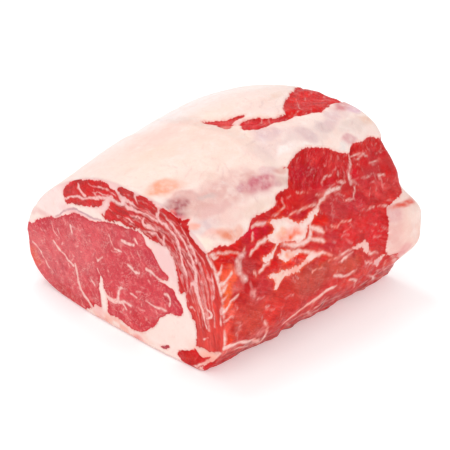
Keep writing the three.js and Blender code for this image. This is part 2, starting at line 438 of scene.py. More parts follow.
EYE = rounded((
    (-192, 45), (-172, 46), (-166, 46), (-163, 50), (-155, 54), (-145, 58), (-137, 60), (-130, 64),
    (-123, 67), (-117, 70.5), (-109, 70), (-98, 70), (-89, 72), (-80, 76), (-66, 76), (-53, 78),
    (-48, 76.5), (-45, 70.5), (-41, 69), (-36, 63), (-31, 57), (-25, 56), (-27, 52), (-37, 50.2),
    (-29, 49), (-22, 49.5), (-17, 43), (-12, 38), (-13, 33), (-20, 31), (-26, 31), (-28, 27),
    (-33, 24), (-35, 19), (-40, 14), (-45, 11), (-52, 7), (-62, 7), (-72, 9), (-83, 8), (-82, 14),
    (-82, 20), (-85, 27), (-88, 37), (-90, 29), (-89, 22), (-88, 14), (-90, 9.5), (-97, 11),
    (-97.5, 7.6), (-101, 5), (-104, 3.6), (-109, 0), (-112, -5), (-192, -5),
))
CAP_END = rounded((
    (-129, 76), (-129, 81.5), (-124, 88.6), (-117.5, 94), (-111.8, 97), (-107, 96.2), (-101.5, 98),
    (-96, 99.8), (-90.2, 101.6), (-84.8, 101.8), (-80.5, 100.8), (-78, 99), (-73.8, 99.6),
    (-68.4, 98), (-67, 95), (-70.8, 92.6), (-76.2, 93), (-80.2, 92.4), (-83, 91.4), (-83.4, 87.6),
    (-87.8, 83.2), (-95.4, 81), (-101.4, 80), (-109.2, 78), (-117.5, 75.8), (-125, 73.8),
))
BAND = rounded((
    (-72, 100), (-70, 102.6), (-66, 103.8), (-60, 103.4), (-56, 103.2), (-54, 101.6),
    (-51.5, 103), (-46, 103.6), (-43, 102.2), (-38, 102.8), (-34, 100), (-30.6, 101.6),
    (-26, 101.2), (-21, 99.6), (-17, 100), (-12, 100.6), (-9, 99.5),
    (-4, 104), (-6, 96), (-6, 91), (-3.4, 89), (1, 86.4), (7, 82.6), (12, 79.6), (17, 75.6), (25, 71),
    (31, 58), (32, 45), (32, 30), (28, 22), (20, 19), (12, 17.5), (5, 18.3), (-1, 16), (-1, 23),
    (0, 30), (-4, 37), (-8, 40.5), (-10, 47), (-11, 52), (-14, 49), (-17, 48.5), (-16.5, 57),
    (-18, 63), (-21, 70), (-25, 76), (-30, 76.5), (-38, 75.5), (-46, 77.5), (-52, 80.5), (-60, 77),
    (-70, 78.5), (-77, 77.5), (-83, 75), (-91, 77), (-84, 82), (-79, 86), (-81, 91), (-72, 91),
    (-67, 90), (-63, 94), (-66, 98),
))
HEEL_MUSCLE = rounded((
    (-16.5, 5.6), (-12.5, 9.8), (-9, 11.4), (-5.8, 11.6), (-3.2, 13), (-1.4, 15.6), (0.8, 13.6),
    (3.5, 11.4), (7.2, 12), (12.4, 14.8), (9, 10), (4.6, 5), (-0.6, 0), (-6, -2), (-12, 1.6),
))
SMALL_MUSCLE = rounded(((-32.5, 5.6), (-28.2, 7.2), (-21.6, 9.4), (-22.6, 7), (-27.5, 4.9)))
RIM_MUSCLE = rounded(((4.6, 5), (12, 11), (19.6, 16.4), (27, 22), (27, 19), (16, 9), (6, 1.5)))
FACE_MUSCLES = (EYE, CAP_END, BAND, HEEL_MUSCLE, SMALL_MUSCLE, RIM_MUSCLE)

# Pale seams: the line's points, each with the seam's half width there.
FACE_SEAMS = (
    ((-130, 75.5, 0.8), (-124.6, 78.9, 0.8), (-116, 82, 0.9), (-108, 83.8, 0.8), (-100, 86, 1.0),
     (-90, 89.5, 1.1), (-82, 91.4, 1.4), (-78, 92, 1.5)),
    ((-112, 93, 0.7), (-110.5, 90.5, 1.2), (-107.5, 88.2, 1.3), (-103, 87.5, 0.9)),
    ((-92, 90, 0.5), (-95, 93.5, 0.2)),
    ((-100, 95, 0.1), (-90, 97.5, 0.3), (-81, 97.5, 0.2), (-73, 95.5, 0.1)),
    ((-96, 91.5, 0.0), (-86, 94, 0.3), (-76, 93.8, 0.2)),
    ((-77, 93, 1.8), (-81, 90, 1.6), (-84, 86, 1.7), (-86, 82, 1.6), (-87, 79, 1.0)),
    ((-83, 85, 0.6), (-78, 84, 0.2)),
    ((-73, 100, 0.8), (-69, 97.4, 1.6), (-66.4, 94.3, 2.2), (-63.5, 91.5, 1.5), (-56.3, 91.3, 1.1),
     (-49, 90.6, 0.5)),
    ((-77, 91.5, 0.9), (-71, 91, 1.0), (-67, 92.4, 1.4)),
    ((-67, 96.5, 1.4), (-63, 95.7, 1.2), (-58, 95.5, 0.9), (-54, 94.6, 0.4)),
    ((-54.9, 103, 1.0), (-54.2, 100, 0.8), (-53, 97.5, 0.2)),
    ((-49, 91.5, 0.2), (-41, 92, 0.6), (-34, 90.8, 0.8)),
    ((-33.3, 104, 1.6), (-33.3, 99, 1.2), (-34.2, 95, 0.9), (-33, 92, 0.9), (-29, 90.5, 1.0),
     (-24, 89, 1.0), (-19, 86.3, 1.1), (-15.6, 82, 1.3), (-14, 75.8, 1.2), (-12.5, 70.8, 1.3),
     (-10.4, 65.8, 0.9), (-8.2, 60.8, 0.4)),
    ((-47, 88.5, 0.6), (-48.3, 86, 1.1), (-46.5, 83.6, 1.2), (-41.5, 84, 0.7), (-37, 83.6, 0.2)),
    ((-43, 81, 0.5), (-37, 81.5, 0.6), (-32, 80, 0.3)),
    ((-29, 82, 0.5), (-28.8, 77, 1.2)),
    ((-73, 82, 0.0), (-64, 83.6, 0.3), (-56, 82, 0.1)),
    ((-60, 87, 0.0), (-52, 87.4, 0.3), (-49, 86.5, 0.4)),
    ((-28, 97, 0.1), (-21, 94, 0.5), (-16.8, 90, 0.7), (-13, 87, 0.8), (-11, 85, 0.8),
     (-8.2, 81, 0.9), (-6, 77.3, 0.9), (-3.2, 73.7, 1.1), (-1, 69.4, 1.1), (-0.3, 65, 1.3),
     (-0.7, 60, 2.0), (0.4, 55.8, 1.7), (2.6, 51.4, 1.2), (5, 46, 0.9), (7.5, 40, 0.6), (9.5, 34, 0.2)),
    ((-15, 97, 0.2), (-11, 92, 0.5), (-7, 87, 0.5), (-3.9, 82, 0.6), (-1, 78.7, 0.9), (-0.6, 74, 0.6)),
    ((-22, 83, 0.1), (-18, 78, 0.3), (-17, 72, 0.1)),
    ((-8.2, 73.7, 0.6), (-5.3, 71.5, 0.7), (-2, 69, 0.6)),
    ((-2, 60, 1.0), (-5.3, 58.6, 0.9), (-6, 54.3, 0.4)),
    ((-9, 59, 0.2), (-8.4, 54, 0.4), (-9.5, 50, 0.2)),
    ((3, 76, 0.1), (5.5, 68, 0.3), (5, 60, 0.1)),
    ((12, 74, 0.0), (14.5, 66, 0.3), (15, 56, 0.1)),
    ((19, 68, 0.1), (20.5, 60, 0.3), (21, 50, 0.2), (20.6, 40, 0.2)),
    ((-6, 42, 0.7), (-3, 44, 0.6), (-1, 42, 0.4)),
    ((9, 47.5, 0.6), (13, 46.5, 0.8), (13.5, 43.5, 0.7), (10, 41, 0.3)),
    ((6, 25, 0.4), (10, 27, 0.2)),
    ((-1.2, 2.2, 0.9), (4.8, 6.8, 0.9), (11.8, 12.8, 0.8), (19, 18.2, 0.8), (24, 22, 0.8)),
    ((0.8, 15.2, 1.0), (4, 15.4, 1.7), (8.5, 15.2, 1.3), (14, 16.8, 0.8), (20, 20.4, 0.6)),
)
EYE_VEINS = (
    ((-143, 41, 0.7), (-139, 38, 0.9), (-134, 36, 0.8), (-129, 34, 0.7), (-125, 32, 0.8),
     (-119, 31, 0.8)),
    ((-117, 33, 0.6), (-115, 29, 1.1), (-114, 24, 1.1), (-114, 20, 0.9), (-112, 16, 1.1),
     (-107.5, 12.5, 1.2), (-103, 9, 1.2), (-100, 6.5, 1.4)),
    ((-122, 59, 0.9), (-121, 55, 0.8)),
    ((-145, 54, 0.3), (-142, 49, 0.3), (-138, 46, 0.2)),
    ((-137, 52, 0.4), (-133, 47, 0.1)),
    ((-170, 30, 0.2), (-165, 29, 0.5), (-160, 27, 0.5), (-157, 23, 0.6), (-154, 18, 0.4),
     (-150, 16, 0.4), (-146, 14, 0.2)),
    ((-160, 17, 0.3), (-164, 13, 0.1)),
    ((-100, 29, 0.5), (-95, 26, 0.4)),
    ((-92, 45, 0.7), (-88, 48, 0.3)),
    ((-68.5, 66, 0.9), (-64, 65.3, 0.9), (-57.5, 66.3, 0.7)),
    ((-57, 71.5, 0.6), (-55.5, 69.5, 0.6), (-54, 68.5, 0.3)),
    ((-82, 66, 0.1), (-79, 62, 0.3), (-76, 58, 0.2)),
    ((-75.5, 58, 0.9), (-70, 58, 0.7)),
    ((-79, 55, 0.4), (-74, 56, 0.3)),
    ((-63, 51, 0.9), (-59, 50, 0.9), (-57, 48, 0.8), (-52, 49, 0.9)),
    ((-57, 48, 0.6), (-54, 46, 0.2)),
    ((-46, 54, 0.8), (-42, 53.5, 0.7), (-37, 52, 0.6), (-31, 50.5, 0.5)),
    ((-29, 43, 0.7), (-25, 42, 0.7), (-23.5, 39, 0.7), (-25, 36, 0.4)),
    ((-59, 33, 0.5), (-53, 32, 0.3)),
    ((-45, 32, 0.6), (-38, 31, 0.7), (-33, 32, 0.6), (-27, 32, 0.5)),
    ((-86, 25, 1.0), (-82, 21.5, 1.7), (-77, 20.5, 1.9), (-72, 22.5, 2.0), (-68.5, 23, 1.5),
     (-64, 24.5, 1.0), (-59, 24, 1.0)),
    ((-71.5, 24, 1.4), (-70.5, 29, 1.1), (-68.5, 33, 1.2)),
    ((-71, 32.5, 0.7), (-66, 34, 0.6)),
    ((-66, 23, 0.9), (-63, 20, 0.6)),
    ((-86, 6, 3.2), (-86.5, 14, 2.4), (-87.5, 22, 1.4), (-88.6, 32, 0.4)),
    ((-92, 39, 0.3), (-88, 35, 0.1)),
)
MEMBRANE = (
    (-139, 60.5), (-134, 63), (-130, 67), (-126, 69.5), (-121, 71.7), (-115, 73), (-108, 73),
    (-102, 72.3), (-96, 72.6), (-90, 73),
)

# The band's fibres run between its inner and its outer edge.
BAND_INNER = (
    (-86, 79), (-61, 78), (-39, 77), (-26, 75), (-19, 66), (-15, 56), (-9, 47), (-4, 38), (-1, 26),
)
BAND_OUTER = (
    (-70, 103), (-47, 104), (-20, 101), (3, 87), (15, 79), (21, 66), (23, 48), (22, 26),
)

# The cap's fibres run in rings round the eye; the reach turns their angle into millimetres.
RINGS_MIDDLE = (-70, 25)
RINGS_STRETCH = 1.15
RINGS_REACH = 70

# Middle on the cut face, half sizes, how strongly it shows, and the colour.
FACE_MEAT_TONES = (
    (-156, 49, 14, 9, 0.9, (208, 62, 74)),
    (-118, 66, 14, 6, 0.8, (208, 62, 74)),
    (-128, 54, 16, 8, 0.5, (210, 74, 82)),
    (-112, 46, 24, 22, 0.7, (228, 114, 118)),
    (-142, 22, 22, 16, 0.6, (226, 112, 116)),
    (-162, 28, 12, 12, 0.7, (232, 122, 124)),
    (-168, 20, 8, 8, 0.8, (238, 108, 86)),
    (-124, 5, 26, 6, 0.8, (208, 70, 70)),
    (-101, 8, 9, 4, 1.0, (216, 54, 52)),
    (-101, 20, 12, 9, 0.8, (210, 64, 72)),
    (-62, 68, 26, 9, 0.6, (208, 74, 84)),
    (-40, 62, 9, 7, 0.9, (206, 62, 78)),
    (-27, 54, 6, 4, 0.9, (204, 60, 72)),
    (-22, 44, 12, 7, 1.0, (204, 62, 76)),
    (-18, 35, 9, 5, 0.9, (204, 58, 74)),
    (-27, 39, 6, 4, 0.8, (200, 60, 68)),
    (-56, 46, 34, 24, 0.7, (206, 74, 82)),
    (-46, 16, 18, 9, 0.9, (208, 66, 72)),
    (-72, 14, 12, 6, 0.8, (204, 60, 70)),
    (-58, 9, 16, 4, 0.8, (220, 66, 74)),
    (-76, 27, 8, 5, 0.7, (222, 76, 80)),
)
CAP_PATCHES = (
    (-10, 95, 6, 7, 1.2, (230, 44, 60)),
    (-14.5, 54, 3, 8, 1.4, (216, 50, 42)),
    (-4, 6, 16, 9, 1.2, (208, 62, 58)),
    (-27, 7, 10, 5, 1.5, (190, 84, 94)),
)

# Places in the face's fat: middle and half sizes.
UNDER_MEMBRANE = (-114, 70, 30, 5)
LOWER_STRIP = (-72, 3, 44, 10)
STRIP_SPOT = (-52, 2, 9, 5)
VEIN_FOOT = (-92, 8, 10, 8)
NEAR_CORNER = (12, 12, 22, 14)
SHOULDER_FAT_PATCHES = (
    (-146, 72, 30, 22, 1.6, (252, 224, 219)),
    (-156, 57, 26, 5, 1.0, (240, 196, 190)),
)

# ---- The outside's pattern, in y and u; the underside has u below zero ----------------------

# The fat sheet ends low on the back, and the meat runs on under the joint.
BACK_MEAT_EDGE = ((194, -184), (140, -190), (90, -186), (40, -196), (-8, -201))
MEAT = np.vstack((rounded(FAT_LIP, 1, closed=False), BACK_MEAT_EDGE))
SLIT_NEAR = rounded((
    (83.5, 205), (86, 201), (89, 195), (92, 190.5), (96, 187.5), (99, 186.5), (104, 181.5),
    (101, 181.5), (98, 183.5), (95, 184), (92, 181.5), (88, 178.5), (83, 176), (81.5, 181),
    (83, 186), (86, 190), (86, 195), (83, 201),
), 1)
SLIT_FAR = rounded((
    (88.5, 169), (92, 175), (95, 178), (98, 180), (101, 179), (105, 175.5), (109, 172.5), (112, 170),
    (116, 167.5), (120, 168), (126, 168), (131, 166), (134, 162), (128, 162.8), (122, 163.5),
    (117, 163.5), (114, 162), (111, 163.5), (106, 162), (101, 161.5), (96, 161.5), (91, 166),
), 1)
TOP_PATCH = rounded((
    (124, 167), (127, 173), (131, 175), (136, 179), (141, 182), (147, 184), (152, 187), (158, 190),
    (170, 196), (194, 200), (194, 158), (176, 158), (168, 160), (160, 157.5), (154, 156), (148, 153),
    (144, 156), (140, 158.5), (136, 158), (132, 162), (128, 164.5),
), 1)
SPLASH = rounded(((-4, 127), (4, 125), (2, 122), (7, 122.5), (2, 118), (-1, 115), (-4, 115)), 1)
TOP_MEAT = (SLIT_NEAR, SLIT_FAR, TOP_PATCH, SPLASH)
TOP_MEAT_LINES = (
    ((86, 127, 0.3), (90, 126, 0.2), (94, 127, 0.1)),
    ((90, 169, 0.5), (94, 173, 0.4), (98, 175, 0.3)),
    ((-4, 133, 0.7), (2, 132, 0.4)),
)

FRONT_VEIL = rounded((
    (25.1, 89.5), (28.5, 90), (29, 88.3), (27.2, 86), (25, 84.8), (23.2, 83), (22.2, 80.8),
    (21.4, 78.6), (22.2, 75.9), (23.8, 73.8), (22.6, 72), (19, 71.6), (17.4, 72.8), (18.2, 74.7),
    (16.8, 76.8), (16.2, 78.6), (17, 80.4), (19.6, 83), (21, 85.3), (22.8, 87.2),
))
SEAM_POOL = rounded((
    (52, 99), (55.5, 97.6), (59.2, 98.4), (64, 98.9), (68.8, 98.3), (71.7, 96), (73.3, 92.5),
    (77.5, 90.6), (82.3, 92), (86.2, 92.8), (91, 93.2), (95, 92.6), (98, 94), (95, 90.6),
    (92, 89.3), (88, 88.9), (84.7, 87.6), (81.8, 86.5), (80.5, 83), (77.5, 79.4), (72.7, 79.2),
    (67.9, 80.2), (64, 81.5), (60, 82.5), (56.8, 81.6), (53.5, 81.6), (48, 80.6), (44.5, 79.6),
    (40, 80.6), (39.8, 77.5), (44, 76.3), (48.5, 76.7), (50, 78.6), (54, 80.4), (53, 83.8),
    (50, 87), (47, 89), (51.5, 89.6), (56.6, 90.6), (57, 94.2), (54, 97),
))
LOWER_POOL = rounded((
    (52, 75.6), (56.3, 77.2), (60.2, 77.2), (64.5, 76.6), (69, 74.8), (73.7, 72.6), (69, 72.6),
    (63.4, 72.6), (61.2, 70.2), (57.8, 69.4), (54.9, 71.5),
))
SEAM_WEDGE = rounded((
    (40, 66.9), (43.4, 68.4), (47, 67.4), (50, 66), (54.4, 64.6), (59.2, 64.6), (64, 65.5),
    (69.8, 65), (75.6, 67), (79, 69.5), (83, 69.4), (87, 66.6), (83, 65.4), (78.5, 64.8),
    (73.7, 63), (68.8, 62), (64, 61.5), (59.2, 61.4), (55.9, 61.4), (53, 60), (49.6, 58.8),
    (47.2, 57), (44.8, 57.8), (45.6, 61.2), (44.8, 64.4), (42.9, 66),
))
HOOKED_SPOT = rounded((
    (119, 60.2), (124, 60), (128, 58.9), (132.8, 58.8), (136, 59), (138.4, 55.4), (140.4, 51.6),
    (141.4, 47.8), (137.6, 49.2), (134.4, 51), (132.4, 54), (128, 56.2), (123, 57.6),
))
LOW_SPOT = rounded((
    (145, 39.6), (149, 38), (153.5, 39.2), (158, 40), (155.4, 36.4), (153.5, 32), (151.7, 29.5),
    (149, 32.6), (147.4, 36),
))
LOBE = rounded((
    (204, 84), (184, 82), (178, 79), (173, 75.8), (166, 74.4), (161.5, 74.2), (159.5, 69),
    (157.5, 62), (156.4, 53), (156.3, 46), (157.5, 40.3), (160, 38.2), (163, 38.8), (166, 34.3),
    (170, 30.3), (178, 27), (186, 22), (204, 18),
))
FLANK_POOLS = (SEAM_POOL, LOWER_POOL, SEAM_WEDGE, HOOKED_SPOT, LOW_SPOT)
FLANK_SEAMS = (
    ((60, 81.4, 0.8), (64, 79.6, 1.2), (70, 78, 1.4), (76, 77.5, 1.3), (80, 78.2, 1.2),
     (83, 80, 1.2), (85, 83, 1.2), (86, 87, 1.1)),
    ((84.5, 86, 0.9), (87.5, 83.6, 1.4), (91, 81, 1.3), (94.5, 77.4, 0.5)),
    ((82.5, 78.6, 0.7), (88, 76, 1.0), (91, 73.6, 0.9), (94, 71, 0.4)),
    ((66, 75.6, 0.8), (71, 74, 0.8), (76.5, 71.9, 0.8), (81, 70, 1.4), (86.2, 67, 1.4),
     (91, 64.5, 1.0), (95.5, 62, 0.6), (100, 60, 0.2)),
    ((88, 92.5, 1.0), (94, 92.4, 1.0), (98, 95, 0.9), (101.5, 97.4, 0.9), (105, 98.2, 0.9),
     (108.5, 100.4, 1.3), (113.3, 101.5, 1.4), (119, 101.9, 1.0), (124, 102.2, 0.5)),
    ((100, 102, 0.2), (104, 100.6, 0.4), (108, 100.8, 0.4)),
    ((108, 108, 0.0), (113, 110.6, 0.5), (119, 111, 0.2)),
    ((121, 105.6, 0.3), (124.5, 104, 0.7), (126.8, 101.9, 0.7), (128, 105, 0.5)),
    ((131.5, 99.5, 0.5), (132, 103, 0.8), (133.6, 105.4, 0.7), (136.5, 108.4, 0.5),
     (139, 112, 0.5), (141, 116, 0.4), (142, 120, 0.6)),
    ((133, 101, 0.5), (138, 101.2, 0.4), (144, 100.6, 0.3), (151, 97.6, 0.0)),
    ((143, 116.6, 0.4), (147, 114.2, 0.6), (152, 113.4, 0.5), (157, 113.4, 0.1)),
    ((146, 111.8, 0.4), (153, 110.8, 0.3), (160, 111.4, 0.1)),
    ((154.5, 105.2, 0.2), (158.3, 107, 0.5), (163, 106.4, 0.4), (169, 104.6, 0.1)),
    ((160.5, 96.8, 0.4), (166, 94, 0.3), (170, 93.6, 0.0)),
    ((128.6, 90.6, 0.3), (133, 93.6, 0.6), (134, 97, 0.5)),
    ((119, 92.6, 0.2), (124, 91.6, 0.4), (129, 89.6, 0.1)),
    ((101, 80.2, 0.2), (106, 78, 0.2), (110, 78.6, 0.2), (115, 78.4, 0.3), (120.5, 80, 0.1)),
    ((138, 79, 0.0), (143, 78.6, 0.5), (148, 76.6, 0.2)),
    ((151, 76, 0.1), (156, 75.6, 0.4), (161, 74.6, 0.6)),
    ((62, 92, 0.0), (71, 97, 0.3), (84, 99, 0.3), (94, 97, 0.5), (97, 95, 0.4)),
    ((86, 109, 0.2), (90, 107.6, 0.4), (94, 105.4, 0.0)),
    ((60, 101, 0.2), (66, 102.4, 0.2), (72, 104, 0.1)),
    ((32.2, 85.6, 0.9), (36, 86.7, 0.8), (39.5, 88.4, 0.9), (43, 89.4, 0.8), (48, 89.4, 0.9)),
    ((36.6, 92, 0.3), (38.6, 94, 0.5), (41, 96, 0.4)),
    ((42, 99.2, 0.7), (46, 101, 1.0), (50, 99.6, 1.1), (53, 98.4, 1.0)),
    ((27.6, 89.6, 0.7), (30, 91.6, 0.4)),
    ((35, 72.8, 0.4), (38, 73.2, 0.7), (40, 75, 0.7), (44, 76, 0.8)),
    ((30.4, 74.6, 0.7), (31.4, 72, 0.5)),
    ((2.6, 94.6, 0.7), (6.7, 95.4, 0.7), (10.3, 94.8, 0.7), (13.5, 92.6, 0.7), (18, 90.8, 0.7),
     (23, 89, 0.9)),
    ((4.5, 93.4, 1.2), (8, 92.6, 0.4)),
    ((0.4, 96, 1.0), (1, 88, 0.9), (1.6, 82, 1.0), (1, 75, 1.0), (0.6, 68, 0.9), (0.4, 60, 0.8),
     (0.4, 52, 0.9), (0.3, 44, 0.9), (0.3, 34, 0.8)),
    ((1.6, 82.2, 1.1), (4.4, 82.6, 0.8), (8, 86, 0.5)),
    ((1.4, 76, 0.9), (5, 76, 0.6), (9, 77.8, 0.5), (13, 79.6, 0.3)),
    ((1.2, 71.6, 0.9), (4.6, 73.4, 0.7), (8, 75, 0.2)),
    ((0.8, 66.4, 0.9), (4, 68.2, 0.6), (7, 69, 0.2)),
    ((1.2, 58.6, 1.0), (4.9, 60.6, 0.9), (6.7, 62.9, 0.9), (9.4, 65.1, 0.8), (13, 66.2, 0.4)),
    ((0, 53, 1.0), (3.6, 53, 0.9), (5.8, 54.4, 0.7), (8.4, 53, 0.2)),
    ((-3, 33.5, 1.8), (5, 33.8, 1.5), (9, 33, 1.4), (15, 31, 1.3), (22, 29.2, 1.3), (28, 28, 1.3),
     (33, 24, 1.2), (38, 17, 1.2)),
    ((10, 27, 0.3), (16, 25.4, 0.6), (22, 24, 0.4), (28, 20, 0.3)),
    ((101, 45.8, 0.6), (105.4, 43.4, 0.9), (110.8, 41.6, 1.0), (115, 41.9, 0.8),
     (119.4, 42.9, 0.6), (124, 43.6, 0.2)),
    ((106, 54.4, 0.2), (110.8, 52.6, 0.5), (116, 54.4, 0.6), (122, 56.6, 0.7)),
    ((96, 57.6, 0.1), (102, 58.6, 0.4), (109, 57, 0.5), (114, 57.6, 0.4), (120, 59.2, 0.6)),
    ((80, 57.8, 0.0), (84, 58.6, 0.4), (90, 56.6, 0.1)),
    ((140, 48, 0.8), (145, 45.6, 0.5), (150, 42.6, 0.2)),
    ((134, 44.6, 0.3), (141.3, 40.3, 0.6), (146.8, 36.7, 0.6), (150, 33, 0.5)),
    ((117, 37.8, 0.3), (123.6, 35.5, 0.7), (127.3, 31.2, 0.6), (130, 24, 0.2)),
    ((141, 30, 0.2), (148, 25, 0.5), (153, 20, 0.6), (158, 14, 0.4)),
    ((80, 27, 0.5), (86, 22, 0.6), (90, 15, 0.3)),
    ((58, 26, 0.3), (66, 20, 0.3), (70, 14, 0.1)),
    ((54, 26, 0.5), (60, 30.4, 1.2), (66, 33.2, 1.5), (74, 34.8, 1.4), (84, 35.4, 1.3), (94, 35.8, 1.2),
     (103, 36.4, 0.8)),
    ((33, 41, 0.4), (36.6, 36, 0.7), (39, 29, 1.0), (40.4, 22, 1.3), (40, 15, 1.1)),
    ((162, 37, 0.6), (168, 30, 0.5), (174, 25, 0.4)),
    ((160, 34, 0.3), (162, 27, 0.4), (168, 20, 0.2)),
)

# Where pale pink connective tissue clouds the meat: middle, half sizes and share.
FLANK_HAZES = (
    (25.4, 62.4, 3.4, 3.4, 0.9), (26, 68, 1.6, 3.6, 0.45), (29, 58.4, 3, 1.2, 0.5),
    (44, 78.6, 6, 2.4, 0.6), (14, 71, 6, 3, 0.35), (110, 100, 12, 5, 0.3), (132.6, 102, 3, 4, 0.6),
    (6, 31, 10, 6, 0.5), (33, 33, 4, 7, 0.5), (91, 79, 5, 5, 0.4), (150, 114, 8, 3, 0.4),
    (164, 105.6, 8, 2, 0.35), (12, 43, 4, 3, 0.25), (100, 79, 6, 2, 0.25), (112, 55, 12, 3, 0.4),
    (138, 42, 8, 3, 0.35), (168, 30, 10, 4, 0.1), (97, 96, 4, 3, 0.4), (104, 45, 6, 3, 0.3),
)

# Where the knife left the flank smooth: middle and half sizes.
SMOOTH_PLACES = ((80, 51, 44, 16), (109, 88, 16, 14))

# The last stretch of the girth, low on the back and underneath, which the chart has below zero.
UNDERSIDE_REACH = 225

# The radius of the tube over which the outside's noise is taken, so that it joins up all round.
WRAP_RADIUS = 85

# Where light from the fat warms the seams' edges most: middle and half sizes.
WARM_PLACE = (62, 78, 80, 50)

# How much of the fine marbling shows outside the eye.
CAP_MARBLING = 0.12
FLANK_MARBLING = 0.25

# ---- Seeded small veins, and short lines of painted shade -----------------------------------

# How many, two corners of their box, their angle and its spread, lengths and half widths.
EYE_FLECKS = (190, (-178, 2), (-16, 74), -34, 44, (0.8, 4.5), (-0.2, 0.35))
THREADS = (
    (120, (60, 84), (182, 128), 34, 26, (2, 9), (-0.4, 0.12)),
    (120, (2, 24), (184, 84), -32, 26, (2, 10), (-0.4, 0.12)),
    (46, (96, 156), (186, 194), 36, 12, (3, 12), (-0.3, 0.3)),
)
STRANDS = ((54, (2, 7), (182, 27), 5, 16, (4, 14), (-0.1, 0.5)),)
# Painted shade: short dark lines where the flank's ragged foot has crevices, drawn in colour only.
PAINTED_CREVICE_SHADE = ((60, (4, 7), (182, 25), 8, 26, (3, 9), (0.2, 0.9)),)
# Painted shade: thin grey lines where the fat sheet is creased, drawn in colour only.
PAINTED_CREASE_SHADE = (
    (60, (2, 98), (96, 168), 48, 46, (3, 13), (-0.1, 0.25)),
    (40, (90, 128), (184, 210), 30, 40, (3, 14), (-0.1, 0.25)),
)
UNDERSIDE_FAT = ((90, (6, -190), (180, -6), 4, 22, (10, 40), (0.3, 1.6)),)

# Fibres along the band, which is followed in this many steps.
BAND_STEPS = 60
PALE_FIBRES = 60
DARK_FIBRES = 90

# ---- Colours, as the eye reads them ---------------------------------------------------------

MEAT_RED = srgb(210, 66, 66)
EYE_RED = srgb(220, 96, 101)
CAP_RED = srgb(214, 48, 56)
EYE_DEEP = srgb(198, 62, 74)
EYE_PALE = srgb(242, 148, 146)
CAP_DEEP = srgb(176, 28, 40)
CAP_PALE = srgb(238, 118, 118)
FLANK_DEEP = srgb(174, 34, 40)
FLANK_PALE = srgb(240, 104, 94)
FAT_CREAM = srgb(250, 225, 216)
SEAM_PINK = srgb(245, 202, 199)
MEMBRANE_VIOLET = srgb(196, 138, 148)
HAZE_PINK = srgb(240, 160, 154)
HALO_ORANGE = srgb(247, 118, 88)
CREASE_SHADE_GREY = srgb(214, 172, 168)
CREVICE_SHADE_RED = srgb(112, 24, 22)
RIM_RED = srgb(206, 66, 76)
CORNER_RED = srgb(226, 88, 80)
UNDER_MEMBRANE_PINK = srgb(240, 182, 184)
STRIP_PINK = srgb(246, 186, 170)
STRIP_RED = srgb(240, 140, 130)
VEIN_FOOT_PINK = srgb(246, 196, 190)
FOOT_RED = srgb(226, 104, 98)
CORNER_FAT_PINK = srgb(250, 164, 140)
PALE_MOTTLE = srgb(244, 158, 156)
DEEP_MOTTLE = srgb(168, 20, 32)
THIN_FAT_PINK = srgb(240, 150, 142)

# How much white the wet surface lays over the meat, which the colour under it leaves out.
SHEEN = 0.044

